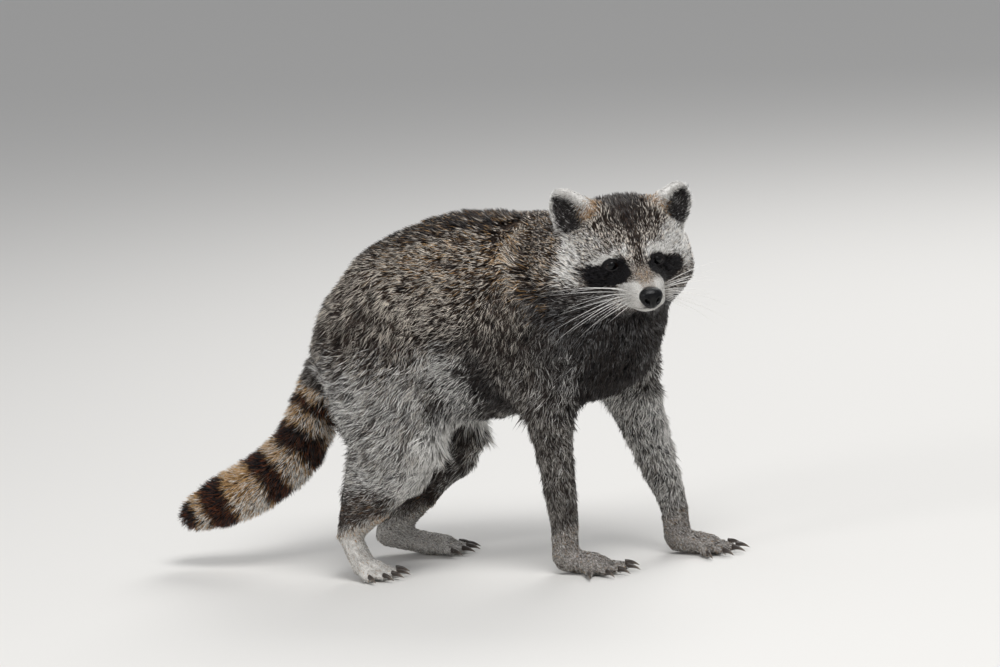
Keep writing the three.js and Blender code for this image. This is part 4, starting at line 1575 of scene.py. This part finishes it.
    def add_lids(self, skin: Surface, side: int) -> Surface:
        """A ring of eyelid round the opening, joined to the skin.

        Args:
            skin: The skin.
            side: -1 for the right eye, 1 for the left.

        Returns:
            The skin with the lids.
        """
        place, size = self.eye_place(side), self.lid_steps
        around = np.linspace(0, 2 * math.pi, size, endpoint=False)
        corner, up, down = (math.radians(d) for d in self.opening)
        sine, cosine = np.sin(around), np.cos(around)
        pointed = np.sign(cosine) * np.abs(cosine) ** 0.9
        tear = step(-0.8, -1.0, cosine)
        rows = []
        for scale, rise in self.lid_profile:
            out = scale * corner * pointed - 0.16 * tear * min(scale, 1.2)
            over = scale * np.where(sine > 0, up, down) * sine - 0.07 * tear
            wide, high = (np.tan(np.clip(turned, -1.5, 1.5)) for turned in (out, over))
            rows.append(unit(np.stack([np.ones(size), wide, high], 1)) * (self.eye_radius + rise))
        points = place.outside(np.concatenate(rows))
        outward = points - place.origin
        triangles = bands(len(rows), size)
        a, b, c = (points[triangles[:, i]] for i in range(3))
        if (np.cross(b - a, c - a) * outward[triangles[:, 0]]).sum(1).mean() < 0:
            triangles = triangles[:, ::-1]
        scales = np.repeat([scale for scale, _ in self.lid_profile], size)
        bare = step(1.3, 1.1, scales)
        middle = outward @ place.axes[0]
        each = np.ones((len(points), 1))
        fields = {
            "region": Region.head.number * each,
            "depth": 0.5 * each,
            "length": 2.2 * each,
            "width": 0.45 * each,
            "density": (2.2 * (1 - bare) * step(2.2, 2.0, scales))[:, None],
            "lie": unit(outward - middle[:, None] * place.axes[0]),
            "normal": unit(outward),
            "markings": each * [1.0, 0.0, 0.0],
            "tone": np.stack([0 * bare, 0.5 + 0 * bare, bare], 1),
        }
        return skin.joined(points, triangles, fields)

    def dress(self, skin: Surface, nodes: list[str]) -> None:
        """Makes the skin's mesh and stands it for the solids of flesh.

        Args:
            skin: The skin.
            nodes: The solids.
        """
        vectors = {key: skin.fields[key] for key in ("markings", "tone")}
        piece = mesh_of("skin", skin.points, skin.triangles, vectors)
        place_piece(piece, HideFinish().material(), "grizzled_fur", *nodes)


# ---------- coat


@dataclass(frozen=True)
class Lock:
    """The shape of a tuft: a point at its root, three corners round its girth, and a point at its tip."""

    girth: float = 0.55  # the corners' place along it
    flatness: float = 0.75
    faces: tuple[tuple[int, int, int], ...] = (
        (0, 2, 1), (0, 3, 2), (0, 1, 3), (1, 2, 4), (2, 3, 4), (3, 1, 4)
    )

    def along(self) -> Array:
        """How far along the tuft each of its vertices is."""
        return np.array([0.0, self.girth, self.girth, self.girth, 1.0])


@dataclass
class Coat:
    """The tufts, in pieces by region."""

    skin: Surface
    lock: Lock = Lock()
    guide_length: float = 7.0  # where tufts are this long,
    guide_share: float = 0.12  # this share of them lead their neighbours
    clump: float = 0.34
    waviness: float = 0.07
    curl: float = 1.35  # above 1 the hair bends over towards its tip
    sunk: float = 0.35  # how deep the roots sit in the skin
    kinship: float = 0.24  # the share of long tufts that have their leader's colours
    lowest: float = 0.15  # no tuft goes below this height
    patch: float = 0.003  # the size of a tuft's patch on its piece's map
    margin: float = 0.004  # what stays free round the map
    map_rings: int = 24
    limit: int = 195_000  # triangles in a piece
    pieces: dict[str, tuple[Region, ...]] = field(
        default_factory=lambda: {
            "coat_face": (Region.muzzle, Region.lower_jaw, Region.nose),
            "coat_head": (Region.head,),
            "coat_ears": (Region.ear,),
            "coat_neck": (Region.neck,),
            "coat_chest": (Region.chest,),
            "coat_belly": (Region.belly,),
            "coat_rump": (Region.rump,),
            "coat_tail": (Region.tail,),
            "coat_thighs": (Region.thigh,),
            "coat_shanks": (Region.shank,),
            "coat_arms": (Region.upper_arm,),
            "coat_forearms": (Region.forearm,),
            "coat_paws": (Region.foot, Region.hand),
        }
    )

    def grow(self) -> None:
        """Makes every piece of the coat."""
        material = FurFinish().material()
        slots = {"coat_face": "white_fur", "coat_ears": "ear_fur", "coat_tail": "ring_fur_tan"}
        home = self.skin.fields["region"][self.skin.triangles[:, 0], 0].astype(int)
        total = 0
        for seed, (name, regions) in enumerate(self.pieces.items()):
            chosen = np.flatnonzero(within(home, *regions))
            roots = self.roots(chosen, np.random.default_rng(100 + seed))
            parts = self.tufts(roots, np.random.default_rng(200 + seed))
            count = math.ceil(len(roots["at"]) * len(self.lock.faces) / self.limit)
            for i in range(count):
                label = name if count == 1 else f"{name}_{i + 1}"
                piece = self.piece(label, {key: rows[i::count] for key, rows in parts.items()})
                place_piece(piece, material, slots.get(name, "grizzled_fur"))
                total += len(piece.data.polygons)
        log.info("coat: %d triangles in all", total)

    def roots(self, triangles: Array, random: np.random.Generator) -> dict[str, Array]:
        """Places for the roots, spread evenly by the coat's density.

        Args:
            triangles: The triangles of the skin that may be grown on.
            random: The source of chance.

        Returns:
            The fields of the skin at each root, and its place as at.
        """
        fields = self.skin.fields
        corners = self.skin.triangles[triangles]
        reached = np.cumsum(self.skin.areas()[triangles] * fields["density"][:, 0][corners].mean(1))
        spots = np.arange(0.5, reached[-1], 1.0)
        spots = spots + random.uniform(-0.5, 0.5, len(spots))
        chosen = corners[np.clip(np.searchsorted(reached, spots), 0, len(corners) - 1)]
        shares = random.dirichlet((1, 1, 1), len(chosen))[:, :, None]
        held = {key: (rows[chosen] * shares).sum(1) for key, rows in fields.items()}
        held["at"] = (self.skin.points[chosen] * shares).sum(1)
        for key in ("normal", "lie"):
            held[key] = unit(held[key])
        return held

    def tufts(self, roots: dict[str, Array], random: np.random.Generator) -> dict[str, Array]:
        """The vertices of every tuft.

        Args:
            roots: The fields at the roots.
            random: The source of chance.

        Returns:
            The places of each tuft's vertices, with its seeds, markings, tone and place on the map.
        """
        at, normal, lie, long = (roots[key] for key in ("at", "normal", "lie", "length"))
        count = len(at)
        guide = self.guides(at, long[:, 0], random)
        own, shared = random.normal(size=(count, 4)), random.normal(size=(count, 4))[guide]

        def varied(column: int, start: float, by_own: float, by_shared: float, *limits: float) -> Array:
            """A factor for each tuft that differs from tuft to tuft and from clump to clump."""
            columns = slice(column, column + 1)
            return np.clip(start + by_own * own[:, columns] + by_shared * shared[:, columns], *limits)

        swerve = np.clip(long / 11, 0.4, 1.2) * varied(0, 0, 0.22, 0.2, -0.6, 0.6)
        way = unit(lie + np.cross(normal, lie) * swerve)
        across = np.cross(normal, way)
        length = long * varied(1, 1, 0.14, 0.12, 0.55, 1.4)
        height = roots["depth"] * varied(2, 0.86, 0.1, 0.14, 0.4, 1.12)
        width = roots["width"] * varied(3, 1, 0.2, 0, 0.6, 1.5) / 2
        gather = self.clump * np.clip((long / 12) ** 2, 0.7, 1.9)
        pull = laid(at[guide] - at, normal)
        bow = self.waviness * np.minimum(length, 12) * random.normal(size=(count, 1))

        def line(share: float) -> Array:
            """The middle of each tuft at a share of its length.

            Args:
                share: From 0 at the root to 1 at the tip.

            Returns:
                A point for each tuft.
            """
            run = length * share
            rise = height * (1 - (1 - share) ** self.curl) - self.sunk * (1 - share)
            drop = roots["bend"] * run**2 / 2
            sideways = pull * gather * share**1.3 + across * bow * 4 * share * (1 - share)
            return at + way * run * (1 - 0.1 * share) + normal * (rise - drop) + sideways

        spin = random.uniform(0, 2 * math.pi, (count, 1))
        seeds = random.uniform(size=(count, 2))
        kin = random.uniform(size=(count, 1)) < self.kinship * np.clip((long - 10) / 8, 0.1, 1)
        girth = self.lock.girth
        middle, ahead = line(girth), unit(line(girth + 0.05) - line(girth - 0.05))
        sideways = unit(np.cross(normal, ahead))
        upright = self.lock.flatness * np.cross(ahead, sideways)
        angles = [spin + 2 * math.pi * k / 3 for k in range(3)]
        rims = [middle + (sideways * np.cos(angle) + upright * np.sin(angle)) * width for angle in angles]
        points = np.stack([line(0.0), *rims, line(1.0)], 1)
        points[..., 2] = np.maximum(points[..., 2], self.lowest)
        return {
            "points": points,
            "seeds": np.where(kin, seeds[guide], seeds),
            "markings": roots["markings"],
            "tone": roots["tone"],
            "map": self.unwrapped(at),
        }

    def guides(self, at: Array, length: Array, random: np.random.Generator) -> Array:
        """For each root, the root that its lock leans towards.

        Args:
            at: The roots.
            length: The tufts' lengths.
            random: The source of chance.

        Returns:
            The number of a root for each root.
        """
        share = min(self.guide_length / max(length.mean(), 6.0) * self.guide_share, 0.2)
        chosen = random.permutation(len(at))[: max(int(len(at) * share), 8)]
        tree = KDTree(len(chosen))
        for number in chosen:
            tree.insert(at[number], int(number))
        tree.balance()
        return np.array([tree.find(p)[1] for p in at])

    def unwrapped(self, at: Array) -> Array:
        """Places on a map rolled off the region's own shape: round its long axis, and along it.

        Args:
            at: The places.

        Returns:
            Two numbers from 0 to 1 for each.
        """
        middle = at.mean(0)
        axes = np.linalg.svd(at - middle, full_matrices=False)[2]
        local = (at - middle) @ axes.T
        along = (local[:, 0] - local[:, 0].min()) / np.ptp(local[:, 0])
        size = self.map_rings
        rings = np.clip((along * size).astype(int), 0, size - 1)
        count = np.maximum(np.bincount(rings, minlength=size), 1)
        centres = np.stack([np.bincount(rings, local[:, i], size) / count for i in (1, 2)], 1)
        around = np.arctan2(*(local[:, 1:] - centres[rings]).T) / (2 * math.pi) + 0.5
        return self.margin + (1 - 2 * self.margin) * np.stack([around, along], 1)

    def piece(self, name: str, parts: dict[str, Array]) -> bpy.types.Object:
        """One mesh of tufts.

        Args:
            name: Its name.
            parts: Its tufts.

        Returns:
            The object, with its map.
        """
        points, along = parts["points"], self.lock.along()
        count, size = points.shape[:2]
        triangles = (np.array(self.lock.faces) + (np.arange(count) * size)[:, None, None]).reshape(-1, 3)
        held = {key: np.repeat(parts[key], size, axis=0) for key in ("seeds", "markings", "tone")}
        strand = np.column_stack([np.tile(along, count), held.pop("seeds")])
        made = mesh_of(name, points.reshape(-1, 3), triangles, {"strand": strand, **held})
        spot = np.stack([(np.arange(size) - 1) % 3 / 2, along], 1) - 0.5
        places = parts["map"][:, None] + self.patch * spot
        layer = made.data.uv_layers.new(name="OFBake", do_init=False)
        loops = np.empty(len(made.data.loops), np.int32)
        made.data.loops.foreach_get("vertex_index", loops)
        layer.data.foreach_set("uv", places.reshape(-1, 2)[loops].astype(np.float32).ravel())
        return made


# ---------- head pieces


@dataclass
class Eye:
    """One eyeball, with the bulge of its clear front."""

    side: int
    hide: Hide
    play: float = 0.15  # between the eyeball and its lids
    bulge: float = 0.55
    bulge_angle: float = 40.0
    rings: int = 48
    spokes: int = 64

    def build(self) -> None:
        """Makes the eyeball and dresses it."""
        polar = np.linspace(0, math.pi, self.rings + 1)
        lift = self.bulge * np.cos(np.minimum(polar / math.radians(self.bulge_angle), 1) * math.pi / 2) ** 2
        out = self.hide.eye_radius - self.play + lift
        around = np.linspace(0, 2 * math.pi, self.spokes, endpoint=False)
        grid = np.stack([
            np.repeat(out * np.cos(polar), self.spokes),
            np.outer(out * np.sin(polar), np.cos(around)).ravel(),
            np.outer(out * np.sin(polar), np.sin(around)).ravel(),
        ], 1)
        places = np.stack([
            np.repeat(polar / (math.pi / 2), self.spokes),
            np.tile(around / (2 * math.pi), self.rings + 1),
            np.zeros(len(grid)),
        ], 1)
        name = SIDES[self.side]
        points = self.hide.eye_place(self.side).outside(grid)
        piece = mesh_of(f"eyeball_{name}", points, bands(self.rings + 1, self.spokes), {"polar": places})
        weld(piece)
        place_piece(piece, EyeFinish().material(), "eye", f"eye_{name}")


def weld(piece: bpy.types.Object) -> None:
    """Merges a mesh's doubled vertices, drops what has no area and turns its faces out.

    Args:
        piece: The object, whose mesh is changed.
    """
    mesh = bmesh.new()
    mesh.from_mesh(piece.data)
    bmesh.ops.remove_doubles(mesh, verts=mesh.verts, dist=TINY)
    bmesh.ops.dissolve_degenerate(mesh, edges=mesh.edges, dist=TINY / 10)
    bmesh.ops.recalc_face_normals(mesh, faces=mesh.faces)
    mesh.to_mesh(piece.data)
    mesh.free()


@dataclass
class Nose:
    """The nose pad, with its two nostrils and the groove between them."""

    marks: Landmarks
    radii: Triple = (7.6, 10.4, 9.4)
    squareness: float = 0.9
    tilt: float = 8.0
    nostril: float = 3.4  # depths of the nostrils, the slits beside them and the groove
    slit: float = 1.1
    groove: float = 0.8
    swelling: float = 0.35  # the height of the rims round the nostrils

    def build(self) -> None:
        """Makes the pad and dresses it."""
        round_, triangles = ball(6, 1)
        x, y, z = round_.T
        side = np.abs(y)
        points = np.sign(round_) * np.abs(round_) ** self.squareness * np.array(self.radii)
        points[:, 1] *= 1 + 0.14 * z - 0.1 * np.maximum(-z, 0)
        points[:, 2] += 0.8 * step(0.2, 0.9, side) * step(0.4, -0.4, z)
        hole = np.hypot((side - 0.47) / 0.2, (z + 0.08 - 0.25 * (side - 0.47)) / 0.24)
        slit = np.hypot((side - 0.82) / 0.3, (z + 0.22) / 0.1)
        depth = (
            self.nostril * step(1.25, 0.55, hole) * step(0.2, 0.5, x)
            + self.slit * step(1.3, 0.6, slit) * step(-0.2, 0.3, x)
            + self.groove * np.exp(-((y / 0.05) ** 2)) * step(0.3, -0.1, z) * step(0.0, 0.4, x)
            - self.swelling * np.exp(-(((hole - 1.5) / 0.5) ** 2)) * step(0.1, 0.5, x)
        )
        points -= unit(round_) * depth[:, None]
        head = self.marks.head
        place = head.turned(tuple(head.inside(self.marks.nose)), (self.tilt, "Y"))
        piece = mesh_of("nose_pad", place.outside(points), triangles, {})
        place_piece(piece, NoseFinish().material(), "nose_skin", "nose")


@dataclass
class Whiskers:
    """Bristles on the lips and brows."""

    marks: Landmarks
    rows: int = 4
    row_size: int = 5
    brow_size: int = 3
    width: float = 0.62
    brow_width: float = 0.6  # against the lips' ones
    length: tuple[float, float] = (30.0, 66.0)
    points: int = 12
    spokes: int = 5

    def build(self, skin: Surface) -> None:
        """Makes both sides' whiskers as one piece and dresses it.

        Args:
            skin: The skin that they grow from.
        """
        random = np.random.default_rng(31)
        tree = BVHTree.FromPolygons(skin.points.tolist(), skin.triangles.tolist())
        last = self.row_size - 1
        lines, widths = [], []
        for side in SIDES:
            for row in range(self.rows):
                for i in range(self.row_size):
                    spot = (44.0 - 4.6 * i - row, side * (9.0 + 1.3 * i + row), -18.0 - 2.6 * row + 0.4 * i)
                    reach = np.interp(i + random.uniform(-0.5, 0.5), [0, last], self.length)
                    way = np.array([0.34 - 0.13 * i, side, 0.3 - 0.24 * row]) + random.normal(0, 0.07, 3)
                    lines.append(self.line(tree, spot, way, reach, random))
                    widths.append(self.width * (0.7 + 0.3 * i / last))
            for i in range(self.brow_size):
                spot = (6.0 - i, side * (15.0 + 2.5 * i), 14.0 + i)
                way = np.array([0.5, side * 0.5, 1.2]) + random.normal(0, 0.1, 3)
                lines.append(self.line(tree, spot, way, 22 + 5 * i, random))
                widths.append(self.width * self.brow_width)
        self.dress(lines, widths, random)

    def line(
        self, tree: BVHTree, spot: Triple, way: Array, reach: float, random: np.random.Generator
    ) -> Array:
        """The middle of a whisker, in the head's axes.

        Args:
            tree: The skin's triangles.
            spot: The place near which it's rooted.
            way: Where it points.
            reach: Its length.
            random: The source of chance.

        Returns:
            Its points, from the skin outwards.
        """
        head = self.marks.head
        root = head.inside(np.array(tree.find_nearest(Vector(head.outside(spot)))[0]))
        share = np.linspace(0, 1, self.points)[:, None]
        bow = np.array([-0.14, 0, -random.uniform(0.04, 0.26)]) * reach
        return root + unit(way) * reach * share + bow * share**2

    def dress(self, lines: list[Array], widths: list[float], random: np.random.Generator) -> None:
        """Sweeps a thin tapering section along each line.

        Args:
            lines: The middles of the whiskers, in the head's axes.
            widths: Their widths at the root.
            random: The source of chance.
        """
        taper = np.linspace(1, 0.12, self.points)[:, None]
        share = np.r_[np.repeat(np.linspace(0, 1, self.points), self.spokes), 0, 1]
        parts, strands = [], []
        for line, width in zip(lines, widths):
            ahead = unit(np.gradient(line, axis=0))
            across = unit(np.cross(ahead, [0.0, 0.1, 1.0]))
            size = width / 2 * taper
            points = tube(line, across * size, np.cross(ahead, across) * size, self.spokes)
            parts.append((points, tube_faces(self.points, self.spokes)))
            strands.append(np.stack([share, np.full(len(share), random.uniform()), 0 * share], 1))
        points, triangles = merged(parts)
        places = self.marks.head.outside(points)
        piece = mesh_of("whiskers", places, triangles, {"strand": np.concatenate(strands)})
        weld(piece)
        place_piece(piece, BristleFinish().material(), "white_fur")


@dataclass
class Claws:
    """The five curved claws of one foot."""

    pair: str
    side: str
    rings: int = 9
    spokes: int = 12
    parts: tuple[float, float] = (0.34, 0.66)  # where a solid's two ends stop, as shares of its corners
    buried: float = 2.2  # how far the claw goes back into the toe
    spare: float = 0.5  # and beyond the middle of its tip
    arch: float = 1.5
    lowest: float = 0.1
    section: tuple[float, float] = (0.8, 1.1)  # across and upright, against the solid's

    def build(self, material: bpy.types.Material) -> None:
        """Makes the claws and dresses them.

        Args:
            material: Their finish.
        """
        names = [f"claw_{self.pair}_{self.side}_{i}" for i in TOES]
        claws = [self.claw(name) for name in names]
        points, triangles = merged([(rows, faces) for rows, faces, _ in claws])
        places = {"polar": np.concatenate([places for _, _, places in claws])}
        piece = mesh_of(f"claws_{self.pair}_{self.side}", points, triangles, places)
        weld(piece)
        place_piece(piece, material, "claw_horn", *names)

    def ends(self, name: str) -> tuple[Array, Array, float]:
        """The middles of a claw's base and tip, and the radius of its base, from its solid.

        Args:
            name: The solid.

        Returns:
            The middle of the base, the middle of the tip and the radius.
        """
        held = np.array([v.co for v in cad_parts[name].data.vertices]) / MM
        held = np.unique(held.round(3), axis=0)
        middle = held.mean(0)
        along = (held - middle) @ np.linalg.svd(held - middle, full_matrices=False)[2][0]
        low, high = np.quantile(along, self.parts)
        near, far = held[along < low], held[along > high]
        if near.std(0).sum() < far.std(0).sum():
            near, far = far, near
        base = near.mean(0)
        return base, far.mean(0), away(near, base).mean()

    def claw(self, name: str) -> tuple[Array, Array, Array]:
        """One claw, along its solid's own line.

        Args:
            name: The solid.

        Returns:
            Vertices, triangles and the numbers for the finish.
        """
        base, tip, size = self.ends(name)
        way = unit(tip - base)
        base, tip = base - way * self.buried, tip + way * self.spare
        share = np.linspace(0, 1, self.rings)
        bow = np.array([0, 0, 1.0]) * (self.arch * np.sin(share * math.pi * 0.85))[:, None]
        line = base + (tip - base) * share[:, None] + bow
        ahead = unit(np.gradient(line, axis=0))
        across = unit(np.cross(ahead, [0, 0, 1.0]))
        width = (size * (0.92 * (1 - share**1.6) + 0.07))[:, None]
        wide, high = (factor * width for factor in self.section)
        points = tube(line, across * wide, np.cross(across, ahead) * high, self.spokes)
        points[:-2, 2] = np.maximum(points[:-2, 2], self.lowest)
        points[-1] += way * 0.3
        places = np.zeros((len(points), 3))
        places[:-2, 0] = np.repeat(share, self.spokes)
        places[:-2, 1] = np.tile(np.arange(self.spokes) / self.spokes, self.rings)
        places[-1, 0] = 1
        return points, tube_faces(self.rings, self.spokes), places


# ---------- studio


@dataclass
class Studio:
    """A plain pale floor, soft lamps and the camera."""

    azimuth: float = 18.0
    elevation: float = 9.0
    roll: float = 4.8
    distance: float = 5.0
    lens: float = 200.0
    aside: float = 0.0623  # how far the aim lies to the right of the model's middle, in metres
    above: float = 0.0421
    floor_size: float = 30.0
    floor_colour: Colour = linear(226, 224, 220)
    sky_colour: Colour = linear(236, 238, 242)
    sky_strength: float = 0.45
    lamps: tuple[tuple[str, Triple, float, float], ...] = (  # names, places from the middle, sizes and powers
        ("key", (0.8, -1.1, 2.2), 1.1, 42.0),
        ("fill", (-1.5, -1.7, 1.0), 0.6, 10.0),
        ("rim", (0.3, 1.9, 1.7), 1.4, 26.0),
    )

    def build(self) -> None:
        """Sets the floor, lamps, world and camera."""
        low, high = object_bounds()
        middle = (low + high) / 2
        self.floor()
        self.camera(middle)
        for name, place, size, power in self.lamps:
            self.lamp(name, middle + Vector(place), middle, size, power)
        self.world()
        bpy.context.scene.view_settings.view_transform = "Standard"

    def floor(self) -> None:
        """The floor, far larger than the model."""
        bpy.ops.mesh.primitive_plane_add(size=self.floor_size)
        plane = bpy.context.object
        plane.name = "floor"
        plane.data.materials.append(Graph("floor").finish(Base_Color=self.floor_colour, Roughness=0.9))
        plane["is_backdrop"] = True

    def camera(self, middle: Vector) -> None:
        """The camera, aimed beside the model's middle.

        Args:
            middle: The model's middle.
        """
        a, e, r = (math.radians(d) for d in (self.azimuth, self.elevation, self.roll))
        back = Vector((math.sin(a) * math.cos(e), -math.cos(a) * math.cos(e), math.sin(e)))
        level = Vector((math.cos(a), math.sin(a), 0))
        upright = back.cross(level)
        right = level * math.cos(r) - upright * math.sin(r)
        up = upright * math.cos(r) + level * math.sin(r)
        data = bpy.data.cameras.new("camera")
        data.lens, data.clip_end = self.lens, 100
        made = linked("camera", data)
        eye = middle + right * self.aside + up * self.above + back * self.distance
        made.matrix_world = Matrix.Translation(eye) @ Matrix((right, up, back)).transposed().to_4x4()
        bpy.context.scene.camera = made

    def lamp(self, name: str, place: Vector, aim: Vector, size: float, power: float) -> None:
        """A soft square lamp that faces a point.

        Args:
            name: Its name.
            place: Where it stands.
            aim: The point.
            size: Its side, in metres.
            power: In watts.
        """
        data = bpy.data.lights.new(name, "AREA")
        data.size, data.energy = size, power
        made = linked(name, data)
        made.location = place
        made.rotation_mode = "QUATERNION"
        made.rotation_quaternion = (aim - place).to_track_quat("-Z", "Y")

    def world(self) -> None:
        """An even pale sky."""
        sky = bpy.data.worlds.new("sky")
        sky.use_nodes = True
        shade = sky.node_tree.nodes["Background"]
        shade.inputs["Color"].default_value = self.sky_colour
        shade.inputs["Strength"].default_value = self.sky_strength
        bpy.context.scene.world = sky


# ---------- the model


def main() -> None:
    """Builds the raccoon piece by piece round the frame."""
    logging.basicConfig(level=logging.INFO, format="%(message)s")
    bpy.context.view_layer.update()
    Studio().build()
    marks = Landmarks()
    body = Body(marks)
    envelope = body.envelope()
    log.info("envelope: %d vertices", len(envelope.points))
    Markings(marks).apply(envelope)
    hide = Hide(marks)
    skin = hide.build(envelope)
    hide.dress(skin, body.flesh())
    for side in SIDES:
        Eye(side, hide).build()
    Nose(marks).build()
    Whiskers(marks).build(skin)
    horn = HornFinish().material()
    for pair in ("hind", "fore"):
        for side in SIDES.values():
            Claws(pair, side).build(horn)
    Coat(skin).grow()


if __name__ == "__main__":
    main()
